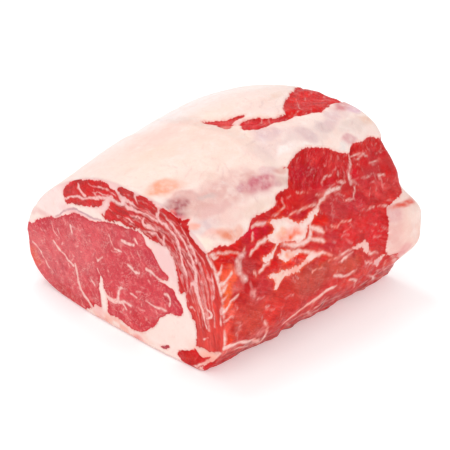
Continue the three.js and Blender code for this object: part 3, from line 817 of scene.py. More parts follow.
# Middle on the outside, half sizes, how strongly it shows, and the colour.
MEAT_TONES = (
    (26, 46, 32, 18, 0.9, (208, 84, 74)),
    (14, 58, 12, 12, 0.8, (204, 72, 66)),
    (8, 88, 10, 9, 0.9, (224, 62, 56)),
    (22, 93, 12, 6, 1.0, (236, 56, 34)),
    (10, 80, 11, 7, 1.0, (250, 108, 82)),
    (5, 73, 6, 7, 1.0, (252, 116, 74)),
    (3, 64, 6, 6, 1.0, (250, 104, 76)),
    (5, 57, 8, 5, 1.0, (248, 110, 96)),
    (3, 36, 7, 10, 0.9, (238, 80, 62)),
    (3, 48, 6, 7, 0.9, (242, 96, 84)),
    (16, 72, 10, 5, 0.8, (222, 90, 86)),
    (27, 79, 9, 8, 0.9, (194, 74, 74)),
    (30, 90, 9, 7, 0.7, (200, 66, 74)),
    (42, 85, 12, 5, 1.0, (214, 44, 60)),
    (44, 97, 14, 7, 1.0, (222, 58, 74)),
    (48, 73, 8, 4, 1.0, (218, 56, 54)),
    (28, 69, 12, 6, 0.6, (204, 60, 62)),
    (36, 60, 14, 9, 0.6, (204, 72, 76)),
    (40, 45, 12, 12, 0.8, (226, 72, 68)),
    (66, 69, 17, 4, 1.0, (240, 66, 44)),
    (60, 56, 30, 7, 0.7, (210, 76, 68)),
    (82, 52, 30, 14, 1.0, (200, 88, 78)),
    (60, 44, 12, 12, 0.5, (222, 74, 66)),
    (116, 48, 20, 8, 1.0, (206, 88, 76)),
    (70, 105, 20, 7, 1.0, (222, 54, 46)),
    (84, 114, 7, 10, 1.0, (224, 56, 44)),
    (78, 97, 12, 5, 0.8, (206, 58, 66)),
    (100, 116, 18, 15, 1.0, (192, 58, 66)),
    (96, 98, 9, 7, 0.8, (200, 60, 66)),
    (116, 126, 15, 9, 0.8, (212, 64, 68)),
    (128, 114, 16, 9, 0.6, (210, 70, 72)),
    (112, 105, 14, 4, 0.6, (216, 54, 66)),
    (138, 105, 8, 5, 1.0, (224, 48, 66)),
    (94, 87, 8, 3, 1.0, (228, 56, 42)),
    (92, 60, 7, 3, 0.9, (224, 62, 44)),
    (110, 90, 17, 12, 0.9, (202, 78, 80)),
    (130, 88, 14, 7, 0.8, (204, 66, 74)),
    (124, 70, 30, 12, 1.0, (220, 52, 58)),
    (98, 70, 9, 8, 0.8, (196, 62, 68)),
    (146, 64, 14, 16, 0.9, (222, 60, 64)),
    (154, 88, 20, 9, 0.7, (226, 82, 82)),
    (168, 82, 14, 9, 0.7, (218, 76, 74)),
    (158, 118, 24, 5, 1.0, (212, 52, 52)),
    (164, 108, 18, 8, 0.8, (210, 60, 64)),
    (150, 98, 18, 6, 0.7, (206, 74, 78)),
    (168, 95, 12, 5, 0.7, (216, 56, 56)),
    (124, 34, 26, 9, 1.0, (222, 72, 64)),
    (146, 40, 14, 8, 0.6, (212, 70, 66)),
    # This tone and the next are darker low on the flank: partly the meat's own brick red, partly
    # painted shade.
    (150, 24, 44, 12, 1.0, (206, 44, 30)),
    (90, 24, 36, 10, 0.9, (196, 46, 38)),
    (46, 34, 14, 10, 0.8, (196, 60, 54)),
    (20, 24, 26, 8, 0.7, (196, 66, 58)),
    # The band along the flank's foot is darker: partly the meat's own brick red, partly painted shade.
    (90, 12, 120, 12, 1.0, (186, 36, 20)),
    (160, 178, 50, 34, 1.0, (218, 46, 44)),
    (152, 179, 14, 7, 0.8, (234, 66, 60)),
    (168, 166, 12, 7, 1.0, (232, 48, 40)),
    (168, 182, 12, 6, 0.7, (230, 60, 54)),
    (138, 160, 12, 4, 0.7, (208, 56, 60)),
    (100, 171, 14, 10, 1.0, (224, 66, 70)),
    (118, 165, 10, 4, 0.8, (208, 76, 82)),
    (86, 184, 7, 7, 1.0, (240, 132, 124)),
    (92, 190, 6, 8, 0.8, (222, 78, 76)),
)
FAT_TONES = (
    (60, 180, 80, 60, 0.9, (250, 217, 203)),
    # This tone and the next whiten the fat over the crest and the back: partly its own paler cream,
    # partly a painted highlight.
    (100, 262, 110, 54, 0.9, (255, 241, 238)),
    (160, 222, 40, 20, 0.6, (255, 244, 238)),
    (22, 180, 20, 40, 0.5, (250, 224, 210)),
    # Painted shade in the valley beside the slit.
    (60, 213, 30, 18, 0.7, (246, 208, 197)),
    (40, 192, 16, 16, 0.5, (247, 212, 192)),
    (72, 182, 14, 16, 0.5, (248, 208, 194)),
    (14, 186, 6, 5, 0.5, (244, 204, 190)),
    (13, 153, 15, 13, 1.0, (253, 168, 138)),
    (30, 152, 14, 10, 0.5, (251, 206, 194)),
    (40, 142, 9, 9, 0.6, (232, 196, 182)),
    # Grey-pink low on the fat sheet: partly its own tone, partly painted shade.
    (40, 128, 44, 15, 0.9, (226, 176, 168)),
    (10, 113, 16, 9, 0.8, (224, 192, 192)),
    (4, 116, 7, 5, 0.9, (248, 176, 158)),
    (22, 102, 14, 6, 1.0, (238, 152, 126)),
    (10, 105, 9, 4, 0.6, (246, 184, 172)),
    (3, 101, 6, 5, 0.9, (252, 230, 214)),
    (50, 109, 20, 6, 0.8, (238, 206, 192)),
    (30, 112, 16, 8, 0.6, (240, 194, 184)),
    (7, 133, 12, 10, 1.0, (160, 40, 60)),
    (1, 132, 4, 4, 0.9, (226, 90, 88)),
    (1, 127, 5, 4, 0.9, (212, 114, 126)),
    (16, 138, 10, 6, 0.8, (222, 164, 156)),
    (14, 125, 14, 5, 0.6, (222, 170, 160)),
    (28, 130, 8, 3, 0.8, (214, 184, 178)),
    (24, 120, 18, 5, 0.7, (230, 180, 174)),
    (51, 126, 5, 4, 1.0, (212, 146, 150)),
    (64, 121, 15, 8, 1.0, (206, 118, 128)),
    (74, 129, 10, 7, 0.7, (228, 184, 184)),
    (74, 116.5, 4, 2.5, 1.0, (206, 148, 154)),
    (80, 118, 8, 5, 0.6, (218, 170, 160)),
    (100, 146, 34, 13, 0.8, (236, 205, 200)),
    (96, 155, 14, 9, 0.8, (220, 186, 190)),
    (120, 140, 34, 8, 0.7, (234, 208, 202)),
    (118, 143, 9, 8, 0.7, (214, 180, 182)),
    (142, 144, 14, 7, 0.7, (212, 182, 182)),
    (152, 147, 16, 8, 0.7, (226, 190, 192)),
    (170, 153, 14, 6, 0.9, (220, 140, 144)),
    (176, 147, 12, 6, 0.8, (228, 184, 198)),
    (160, 134, 24, 8, 0.8, (232, 206, 198)),
    (176, 134, 8, 6, 0.7, (238, 196, 172)),
    (147, 125, 8, 5, 0.8, (216, 150, 156)),
    (138, 124, 6, 3, 1.0, (238, 222, 216)),
    (97, 138, 10, 4, 0.9, (254, 236, 230)),
    # This rim and the next, just above the lip, are partly the fat's own cream and partly a painted
    # highlight on its edge.
    (112, 135, 14, 2.5, 0.8, (250, 232, 224)),
    (62, 106.5, 14, 2.5, 0.8, (248, 224, 210)),
    (82, 126, 6, 4, 0.7, (226, 160, 148)),
    (110, 186, 26, 10, 0.7, (244, 214, 205)),
    (96, 180, 8, 3, 0.8, (240, 196, 190)),
    (92, 184, 5, 2, 1.0, (244, 160, 128)),
    (140, 190, 20, 5, 0.7, (240, 206, 190)),
    (120, 176, 10, 5, 0.5, (240, 212, 208)),
    # The lobe's darker cream: partly its own colour, partly painted shade on the side turned from the
    # light.
    (178, 52, 30, 36, 0.9, (238, 198, 186)),
    (160, 56, 6, 26, 0.8, (232, 180, 172)),
    (162, 68, 7, 7, 0.8, (222, 160, 162)),
    (172, 71, 12, 3, 1.0, (226, 112, 98)),
    (176, 60, 12, 9, 0.6, (248, 224, 214)),
    (166, 36, 8, 8, 0.8, (226, 150, 150)),
    (68, 86, 14, 4.6, 1.0, (246, 106, 68)),
    (60, 88, 6, 3, 0.8, (250, 186, 158)),
    (66, 95, 22, 5, 0.8, (250, 216, 206)),
    (76, 88, 14, 4, 0.6, (248, 208, 200)),
    (56, 99, 12, 3, 0.7, (226, 184, 196)),
    (62, 73, 6, 4, 0.9, (247, 150, 118)),
    (55, 76, 8, 3, 0.8, (244, 196, 190)),
    (72, 63, 22, 4, 0.8, (246, 164, 146)),
    (49, 63, 9, 6, 0.9, (246, 200, 184)),
    (22, 82, 10, 10, 0.7, (244, 206, 196)),
    (20, 74, 5, 4, 1.0, (232, 150, 140)),
    (26, 88, 4, 3, 0.8, (230, 182, 180)),
    (34, 30, 8, 14, 0.9, (240, 160, 146)),
    (34, 39, 4, 4, 0.7, (242, 196, 184)),
    (78, 33, 30, 7, 0.9, (246, 180, 164)),
    (90, 10, 120, 12, 0.9, (246, 168, 144)),
    (130, 57, 14, 5, 0.8, (242, 178, 170)),
    (137, 51, 7, 7, 0.8, (244, 190, 182)),
    (150, 36, 9, 7, 0.8, (232, 164, 164)),
    (40, 330, 34, 24, 0.6, (246, 206, 194)),
    (110, 350, 44, 22, 0.7, (236, 196, 192)),
    (160, 322, 26, 26, 0.6, (250, 202, 182)),
    (70, 385, 48, 20, 0.7, (232, 178, 176)),
    (150, 395, 36, 18, 0.6, (240, 198, 190)),
)


def tinted(base, a, b, tones, worn):
    """A colour for each place on a chart: the base, with soft worn patches of other tones."""
    colour = np.tile(base, (len(a), 1))
    for k, (middle_a, middle_b, half_a, half_b, strength, tone) in enumerate(tones):
        share = strength * smooth(blob(a, b, middle_a, middle_b, 1.2 * half_a, 1.2 * half_b), 0, 0.8)
        colour += (np.array(srgb(*tone)) - colour) * (share * worn[k % len(worn)])[:, None]
    return colour


def shaded(colour, tone, share):
    """The colour with a share of a tone mixed in at each place."""
    return colour + (np.array(tone) - colour) * np.clip(share, 0, 1)[:, None]


def patched(colour, a, b, patches):
    """The colour with plain soft patches, each a middle, half sizes, a strength and a tone."""
    for middle_a, middle_b, half_a, half_b, strength, tone in patches:
        share = blob(a, b, middle_a, middle_b, half_a, half_b) * strength
        colour = shaded(colour, srgb(*tone), share)
    return colour


def small_veins_and_shade_lines(rng, count, low, high, angle, spread, length, width, allowed=None):
    """Short, slightly bent lines over a box of a chart, for veins and for painted shade."""
    vein_and_shade_lines = []
    while len(vein_and_shade_lines) < count:
        start = rng.uniform(low, high)
        turn = math.radians(rng.normal(angle, spread))
        reach = rng.uniform(*length)
        bend = rng.uniform(-0.5, 0.5)
        middle = start + reach / 2 * np.array((math.cos(turn), math.sin(turn)))
        end = middle + reach / 2 * np.array((math.cos(turn + bend), math.sin(turn + bend)))
        half = rng.uniform(*width)
        places = ((*start, half * 0.6), (*middle, half), (*end, half * rng.uniform(0.2, 0.7)))
        if allowed is None or inside(np.array((start, end)), allowed).min() > 1.5:
            vein_and_shade_lines.append(places)
    return vein_and_shade_lines


def scattered_depth(rng, groups, spots, margin=5.0):
    """How far each place is inside small lines of veins and of painted shade, scattered group by group.
    """
    vein_and_shade_lines = []
    for group in groups:
        vein_and_shade_lines += small_veins_and_shade_lines(rng, *group)
    return lines_depth(spots, vein_and_shade_lines, margin)


def band_fibres(rng, count):
    """Thin threads that run along the band, between its inner and its outer edge."""
    inner = spaced(rounded(BAND_INNER, 2, closed=False), BAND_STEPS)
    outer = spaced(rounded(BAND_OUTER, 2, closed=False), BAND_STEPS)
    fibres = []
    for _ in range(count):
        across = rng.uniform(0.06, 0.95)
        start = rng.integers(0, 44)
        end = min(start + rng.integers(8, 24), BAND_STEPS - 1)
        drift = rng.uniform(-0.08, 0.08)
        share = np.clip(across + drift * np.linspace(0, 1, end - start), 0.03, 0.97)[:, None]
        line = inner[start:end] * (1 - share) + outer[start:end] * share
        half = np.full((len(line), 1), rng.uniform(0.05, 0.4))
        fibres.append(np.hstack((line, half))[::3])
    return fibres


# ---- What each point of the surface looks like ----------------------------------------------


def coverage(depth, softness):
    """How much of a patch as wide as the softness is covered, at a depth inside a line's edge."""
    return np.clip(depth / softness + 0.5, 0, 1)


def face_veins(spots, worn, rng):
    """How much of a cut face its seams and veins cover, and the depth in the band's dark fibres."""
    flecks = small_veins_and_shade_lines(rng, *EYE_FLECKS, EYE)
    pale = band_fibres(rng, PALE_FIBRES)
    vein = np.zeros(len(spots))
    for lines, share in ((FACE_SEAMS, 1), (EYE_VEINS, 0.92), (flecks, 0.55), (pale, 0.55)):
        vein = np.maximum(vein, share * coverage(lines_depth(spots, lines) + worn, FACE_SOFTNESS))
    dark = lines_depth(spots, band_fibres(rng, DARK_FIBRES)) + 0.4 + worn
    return vein, dark


def eye_colour(spots, soft, flat, in_eye, clouds, seed):
    """The eye of the meat: soft tones, a deeper rim and short fibres."""
    colour = tinted(EYE_RED, *soft.T, FACE_MEAT_TONES, (clouds,))
    colour = shaded(colour, RIM_RED, 0.6 * (1 - smooth(in_eye, 0.5, 4.5)))
    streak = 0.6 * strokes(*spots.T, -38, 4.0, 1.6, seed + 9) + 0.55 * noise(flat, 3.1, seed + 10)
    colour = shaded(colour, EYE_DEEP, 0.42 * smooth(-streak, 0.05, 0.8))
    return shaded(colour, EYE_PALE, 0.36 * smooth(streak, 0.15, 0.9))


def round_the_eye(spots):
    """How far round the eye each place of a cut face lies, and how far out."""
    across = (spots[:, 0] - RINGS_MIDDLE[0]) / RINGS_STRETCH
    up = spots[:, 1] - RINGS_MIDDLE[1]
    return np.arctan2(up, across) * RINGS_REACH, np.hypot(across, up)


def cap_colour(x, z, soft, flat, in_band, dark, seed, turn, ring):
    """The cap, the band and the small muscles, with fibres that run round the eye."""
    colour = np.tile(CAP_RED, (len(x), 1))
    corner = smooth(in_band, -1, 1) * smooth(soft[:, 0] - 0.3 * soft[:, 1], -34, -14)
    colour = shaded(colour, CORNER_RED, corner * 0.85)
    colour = patched(colour, x, z, CAP_PATCHES)
    streak = 0.7 * strokes(turn, ring, 0, 9.0, 1.3, seed + 11) + 0.4 * noise(flat, 4, seed + 12)
    colour = shaded(colour, CAP_DEEP, (0.75 - 0.35 * corner) * smooth(-streak, 0.0, 0.75))
    colour = shaded(colour, CAP_PALE, 0.3 * smooth(streak, 0.2, 0.8))
    return shaded(colour, CAP_DEEP, 0.45 * coverage(dark, FACE_SOFTNESS) * (1 - 0.6 * corner))


def face_fat_colour(x, z, spots, soft, flat, clouds, seed):
    """The fat of a cut face, pinker in the seams and along the foot, and the membrane on it."""
    colour = np.tile(FAT_CREAM, (len(x), 1))
    colour = shaded(colour, SEAM_PINK, smooth(x, -60, -30) * smooth(z, 40, 60))
    colour = shaded(colour, SEAM_PINK, smooth(z, 76, 84))
    colour = patched(colour, *soft.T, SHOULDER_FAT_PATCHES)
    colour = shaded(colour, UNDER_MEMBRANE_PINK, blob(x, z, *UNDER_MEMBRANE) * 0.9)
    away, _ = distance_to_line(spots, rounded(MEMBRANE, 2, closed=False))
    colour = shaded(colour, MEMBRANE_VIOLET, (1 - smooth(away, 0.3, 1.1)) * 0.85)
    strip = blob(x, z, *LOWER_STRIP) * smooth(noise(flat, 4, seed + 13), -0.7, 0.5)
    colour = shaded(colour, STRIP_PINK, strip * 1.4)
    colour = shaded(colour, STRIP_RED, blob(x, z, *STRIP_SPOT) * 1.3 * clouds)
    colour = shaded(colour, VEIN_FOOT_PINK, blob(x, z, *VEIN_FOOT))
    foot = (1 - smooth(soft[:, 1], 0.5, 4)) * smooth(noise(flat, 3, seed + 14), -0.4, 0.6)
    colour = shaded(colour, FOOT_RED, foot * 0.6)
    return shaded(colour, CORNER_FAT_PINK, blob(x, z, *NEAR_CORNER) * 0.9)


def face_look(x, z, seed):
    """Fat depth, vein cover, colours, grain and marbling on a cut face."""
    rng = np.random.default_rng(seed)
    flat = np.stack((x, z, np.full(len(x), 7.0 * seed)), axis=1)
    warp = shifts(flat, 5, seed) * 0.6
    warp += shifts(flat, 1.9, seed + 2) * (0.4 + 0.5 * smooth(z, 70, 78))[:, None]
    spots = np.stack((x, z), axis=1) + warp
    soft = spots + shifts(flat, 8, seed + 4) * 3.5
    worn = noises(flat, FACE_WEAR, seed)
    clouds = 0.75 + 0.25 * noise(flat, 4.5, seed + 8)

    fat = -np.maximum(area_depth(spots, FACE_MUSCLES, 12), -FACE_FAT_REACH)
    vein, dark = face_veins(spots, worn, rng)
    in_eye = inside(spots, EYE)
    in_band = inside(spots, BAND)
    turn, ring = round_the_eye(spots)
    eye = eye_colour(spots, soft, flat, in_eye, clouds, seed)
    meat = cap_colour(x, z, soft, flat, in_band, dark, seed, turn, ring)
    meat += (eye - meat) * smooth(in_eye, -0.5, 0.5)[:, None]
    tint = face_fat_colour(x, z, spots, soft, flat, clouds, seed)

    fibrous = smooth(in_band, -1, 1)[:, None]
    plain = np.stack((x * 0.75 - z * 0.3, z * 0.9, np.zeros(len(x))), axis=1)
    along = np.stack((turn * 0.12, ring, np.full(len(x), 40.0)), axis=1)
    grain = plain * (1 - fibrous) + along * fibrous
    marble = CAP_MARBLING + (1 - CAP_MARBLING) * smooth(in_eye, 0, 2)
    return [fat, vein, meat, tint, grain, marble]


def flank_strokes(y, u):
    """The trimmed flank's fibres, which lie three ways."""
    low = strokes(y, u, -30, 8.0, 2.0, 53)
    middle = strokes(y, u, 40, 7.0, 1.8, 54)
    far = strokes(y, u, -12, 8.0, 1.8, 55)
    high = smooth(u, 96, 106)
    to_far = smooth(y, 132, 146)
    return low + (middle * (1 - to_far) + far * to_far - low) * high * smooth(y, 74, 86)


def flank_colour(y, wrapped, spots, flat, blur, clouds):
    """The trimmed meat's tones and fibres, plainer where the knife left it smooth."""
    worn = [0.4 + 0.6 * cloud for cloud in clouds]
    colour = tinted(MEAT_RED, y + blur[:, 0], wrapped + blur[:, 1], MEAT_TONES, worn)
    streak = 0.7 * flank_strokes(*spots.T) + 0.45 * noise(flat, 3.4, 58)
    calm = 1 - 0.6 * np.maximum(*(blob(*spots.T, *place) for place in SMOOTH_PLACES))
    colour = shaded(colour, FLANK_DEEP, 0.46 * calm * smooth(-streak, 0.0, 0.8))
    return shaded(colour, FLANK_PALE, 0.3 * calm * smooth(streak, 0.12, 0.85))


def flank_haze(spots, flat):
    """How much pale connective tissue clouds the meat."""
    haze = np.zeros(len(spots))
    for middle_y, middle_u, half_y, half_u, share in FLANK_HAZES:
        cloud = blob(*spots.T, middle_y, middle_u, half_y * 1.3, half_u * 1.3)
        haze = np.maximum(haze, share * smooth(cloud, 0, 0.8))
    return haze * smooth(noise(flat, 1.9, 39) + 0.6 * noise(flat, 4, 40), -0.9, 0.6)


def outside_grain(y, wrapped):
    """Places for the fine fibres, which rise the other way high on the flank."""
    level = np.full(len(y), 80.0)
    turned = np.stack((y * 0.3 - wrapped * 0.18, y * 0.5 + wrapped * 0.87, level), axis=1)
    risen = np.stack((y * 0.27 + wrapped * 0.22, wrapped * 0.77 - y * 0.64, level), axis=1)
    high = (smooth(wrapped, 96, 106) * smooth(y, 74, 86))[:, None]
    return turned * (1 - high) + risen * high


def flank_veins(spots, flat, worn, seams, threads, strands):
    """How much of the flank its seams, threads, strands and torn veil cover."""
    veil = coverage(area_depth(spots, (FRONT_VEIL,), 10) + 2 * worn, 2 * FLANK_SOFTNESS)
    torn = np.clip(0.7 + 0.5 * noise(flat, 2.2, 59), 0, 0.95)
    vein = np.maximum(coverage(seams, FLANK_SOFTNESS), 0.55 * threads)
    return np.maximum(np.maximum(vein, torn * veil), 0.75 * strands)


def worn_clouds(flat, seed):
    """How strongly the patches of tone show from place to place."""
    return np.clip(0.95 + 0.4 * noise(flat, 4.2, seed) + 0.3 * noise(flat, 1.9, seed + 1), 0.1, 1.1)


def outside_places(y, u, girth):
    """The outside's chart with the underside below zero, and places that join up round it."""
    wrapped = np.where(u > girth - UNDERSIDE_REACH, u - girth, u)
    turn = 2 * math.pi * u / girth
    flat = np.stack((y, WRAP_RADIUS * np.cos(turn), WRAP_RADIUS * np.sin(turn)), axis=1)
    return wrapped, flat


def outside_look(y, u, girth):
    """Fat depth, vein cover, colours, grain and marbling outside, and the depths in its meat."""
    rng = np.random.default_rng(OUTSIDE_SEED)
    wrapped, flat = outside_places(y, u, girth)
    fine = shifts(flat, 2.6, 33) * 0.7
    spots = np.stack((y, wrapped), axis=1) + shifts(flat, 7, 31) * 0.8 + fine
    worn = noises(flat, OUTSIDE_WEAR)

    in_meat = inside(spots - 0.6 * fine, MEAT)
    top_meat = np.maximum(area_depth(spots, TOP_MEAT, 8), lines_depth(spots, TOP_MEAT_LINES))
    pools = area_depth(spots, FLANK_POOLS, 10) + 0.5 * worn
    seams = lines_depth(spots, FLANK_SEAMS, 6) + worn - 0.12
    threads, strands, crevice_shade, crease_shade = (
        coverage(scattered_depth(rng, groups, spots) + worn, FLANK_SOFTNESS)
        for groups in (THREADS, STRANDS, PAINTED_CREVICE_SHADE, PAINTED_CREASE_SHADE)
    )
    under = scattered_depth(rng, UNDERSIDE_FAT, spots, 6)
    pale = np.maximum(np.maximum(0.55 * pools, area_depth(spots, (LOBE,), 10)), under)
    fat = np.maximum(np.minimum(-in_meat, -top_meat), pale)
    vein = flank_veins(spots, flat, worn, seams, threads, strands)

    blur = shifts(flat, 12, 35) * 2.4 + shifts(flat, 4.5, 37) * 1.6
    clouds = (worn_clouds(flat, 61), worn_clouds(flat, 63))
    meat = flank_colour(y, wrapped, spots, flat, blur, clouds)
    # Painted shade in the crevices along the flank's ragged foot.
    meat = shaded(meat, CREVICE_SHADE_RED, 0.75 * crevice_shade)
    meat = shaded(meat, HAZE_PINK, flank_haze(spots + 0.3 * blur, flat))
    warm = 0.15 + 0.5 * smooth(blob(y, wrapped, *WARM_PLACE), 0, 0.5)
    meat = shaded(meat, HALO_ORANGE, warm * smooth(np.maximum(pools, seams - 0.3), -1.8, 0.2))
    tint = tinted(FAT_CREAM, y + blur[:, 0], u + blur[:, 1], FAT_TONES, clouds)
    # Painted shade in the fat's creases.
    tint = shaded(tint, CREASE_SHADE_GREY, 0.5 * crease_shade)

    fat = np.clip(fat, -FAT_REACH, FAT_REACH)
    marble = np.full(len(y), FLANK_MARBLING)
    return [fat, vein, meat, tint, outside_grain(y, wrapped), marble], in_meat, top_meat


# ---- The mesh -------------------------------------------------------------------------------


def outside_points():
    """The rings' points, their places on the outside's chart, and their outward directions."""
    points, chart, outward = [], [], []
    for y in rows()[0]:
        line = section(y)
        step = np.roll(line, -1, axis=0) - np.roll(line, 1, axis=0)
        step /= np.linalg.norm(step, axis=1)[:, None]
        out = np.stack((step[:, 1], -step[:, 0]), axis=1)
        reach = np.hypot(*(np.roll(line, -1, axis=0) - line).T)
        u = np.concatenate(((0,), np.cumsum(reach)[:-1]))
        points.append(np.stack((line[:, 0], np.full(len(line), y), line[:, 1]), axis=1))
        chart.append(np.stack((np.full(len(line), y), u, np.full(len(line), reach.sum())), axis=1))
        outward.append(np.stack((out[:, 0], np.zeros(len(line)), out[:, 1]), axis=1))
    return np.array(points), np.array(chart), np.array(outward)


def drawn_in(rings):
    """The rings, each scaled about its box's middle by its inset, which rounds the two edges."""
    drawn = rings.copy()
    for ring, y, inset in zip(drawn, *rows()):
        middle, half = box_at(y)
        ring[:, (0, 2)] = middle + (ring[:, (0, 2)] - middle) * (1 - inset / half)
    return drawn


def outside_height(y, u, fat, vein, in_meat, top_meat, points):
    """How far each point of the outside stands out, seams and slits and small lumps included."""
    height = broad_relief(y, u) + lip_relief(in_meat)
    meaty = smooth(-fat, -0.5, 1.5)
    height += MUSCLE_RISE * meaty * (1 - np.exp(np.minimum(fat, 0) / MUSCLE_SHOULDER))
    height -= MEAT_SINK * meaty
    height -= FLANK_VEIN_SINK * vein * meaty
    height -= TOP_MEAT_SINK * smooth(top_meat, -0.8, 1.2)
    return height + meaty * noises(points, MEAT_LUMPS) + (1 - meaty) * noises(points, FAT_LUMPS)


def heel_rags(points, u):
    """How far the trimmed foot of the flank stands out, in and out of line."""
    return noises(points, HEEL_LUMPS) * hump(((u - HEEL_RAGS_MIDDLE) / HEEL_RAGS_REACH) ** 2)


def face_height(x, z, fat, vein, swellings, rim_distance, seed):
    """How far each point of a cut face stands out."""
    flat = np.stack((x, z, np.full(len(x), 3.0 * seed)), axis=1)
    meaty = smooth(-fat, -0.3, 0.6)
    height = swollen(np.zeros(len(x)), x, z, swellings) * smooth(rim_distance, 0, 5)
    crease = np.exp(-(fat / FACE_CREASE_WIDTH) ** 2)
    fine = noises(flat, FACE_LUMPS, seed)
    fine += FACE_FAT_RISE * (1 - meaty) - FACE_CREASE_SINK * crease - FACE_VEIN_SINK * vein * meaty
    return height + fine * smooth(rim_distance, 0, 2)


def face_triangles(rim, spacing):
    """Points inside a rim, in x and z, and the triangles that join them and the rim."""
    low, high = rim.min(axis=0), rim.max(axis=0)
    across = np.arange(low[0], high[0], spacing)
    up = np.arange(low[1], high[1], spacing * math.sqrt(3) / 2)
    x, z = np.meshgrid(across, up)
    x[1::2] += spacing / 2
    lattice = np.stack((x.ravel(), z.ravel()), axis=1)
    depth = inside(lattice, rim)
    keep = depth > spacing * 0.55
    lattice, depth = lattice[keep], depth[keep]
    count = len(rim)
    everything = np.vstack((rim, lattice))
    edges = [(i, (i + 1) % count) for i in range(count)]
    places = [Vector(place) for place in everything]
    outline = [list(range(count))]
    made = delaunay_2d_cdt(places, edges, outline, KEEP_INSIDE, SAME_PLACE, False)
    if len(made[0]) != len(everything):
        raise ValueError("the face's triangulation moved its points")
    return lattice, depth, np.array([tuple(face) for face in made[2]])


def shaped_outside():
    """The outside's rings of points with their relief, and what each point looks like."""
    points, chart, outward = outside_points()
    y, u, girth = chart.reshape(-1, 3).T
    flat_points = points.reshape(-1, 3)
    look, in_meat, top_meat = outside_look(y, u, girth)
    height = outside_height(y, u, look[0], look[1], in_meat, top_meat, flat_points)
    height *= smooth(flat_points[:, 2], 0, RELIEF_START_Z)
    shaped = flat_points + outward.reshape(-1, 3) * height[:, None]
    shaped[:, 0] += heel_rags(flat_points, u)
    return drawn_in(shaped.reshape(points.shape)), look


def dress_edge(look, outside, row, tall, seed):
    """Gives a ring of the rounded edge the look of the cut face it borders."""
    count = outside.shape[1]
    edge = slice(row * count, (row + 1) * count)
    rim_look = face_look(*(outside[row][:, (0, 2)] * (1, tall)).T, seed)
    for values, rim_values in zip(look, rim_look):
        values[edge] = rim_values


def build_joint():
    """The joint's points and faces, and what each point looks like."""
    outside, look = shaped_outside()
    ring_count, count = outside.shape[:2]
    faces, vertices = outside_faces(ring_count, count), [outside.reshape(-1, 3)]
    total = ring_count * count
    ends = (
        (0, FACE_SPACING, FACE_SWELLINGS, -1, NEAR_FACE_SEED),
        (ring_count - 1, FAR_FACE_SPACING, FAR_FACE_SWELLINGS, 1, FAR_FACE_SEED),
    )
    for ring, spacing, swellings, toward, seed in ends:
        lattice, rim_distance, triangles = face_triangles(outside[ring][:, (0, 2)], spacing)
        x, z = lattice.T
        tall = CROWN_Z[0] / through(CROWN_Z, ring / (ring_count - 1))
        face = face_look(x, z * tall, seed)
        raised = face_height(x, z, face[0], face[1], swellings, rim_distance, seed)
        level = np.full(len(x), outside[ring][0, 1]) + toward * raised
        vertices.append(np.stack((x, level, z), axis=1))
        look = [np.concatenate(pair) for pair in zip(look, face)]

        ids = np.concatenate((ring * count + np.arange(count), total + np.arange(len(x))))
        made = ids[triangles]
        faces += [tuple(t) for t in (made if toward < 0 else made[:, ::-1])]
        total += len(x)
        for i in range(EDGE_ROWS - 1):
            dress_edge(look, outside, ring - toward * i, tall, seed)

    look[2] = np.clip(look[2] - SHEEN, 0, 1)
    return pushed(np.vstack(vertices)), faces, look


def outside_faces(ring_count, count):
    """The four-sided faces between the rings of points."""
    faces = []
    for ring in range(ring_count - 1):
        near_ring, far_ring = ring * count, (ring + 1) * count
        for i in range(count):
            after = (i + 1) % count
            faces.append((near_ring + i, far_ring + i, far_ring + after, near_ring + after))
    return faces


def store(mesh, name, kind, values):
    """Stores a value for each point under a name."""
    layer = mesh.attributes.new(name, kind, "POINT")
    field = {"FLOAT": "value", "FLOAT_VECTOR": "vector", "FLOAT_COLOR": "color"}[kind]
    if kind == "FLOAT_COLOR":
        values = np.hstack((values, np.ones((len(values), 1))))
    layer.data.foreach_set(field, np.asarray(values, np.float32).ravel())


# What is stored at each point for the material, in the order of the looks.
LAYERS = (
    ("fat", "FLOAT"),
    ("vein", "FLOAT"),
    ("meat", "FLOAT_COLOR"),
    ("tint", "FLOAT_COLOR"),
    ("grain", "FLOAT_VECTOR"),
    ("marble", "FLOAT"),
)


def make_piece():
    """The joint as one object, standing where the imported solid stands."""
    points, faces, look = build_joint()
    middle = (points.min(axis=0) + points.max(axis=0)) / 2
    box_middle = (np.array(cad_low) + np.array(cad_high)) / 2
    to_frame = np.array((*(box_middle - middle * MM)[:2], cad_low[2]))
    mesh = bpy.data.meshes.new("ribeye_meat")
    mesh.from_pydata((points * MM + to_frame).tolist(), [], [tuple(map(int, f)) for f in faces])
    mesh.update()
    for (name, kind), values in zip(LAYERS, look):
        store(mesh, name, kind, values)
    mesh.shade_smooth()
    piece = bpy.data.objects.new("ribeye_meat", mesh)
    bpy.context.scene.collection.objects.link(piece)
    return piece, to_frame


# ---- The finish -----------------------------------------------------------------------------


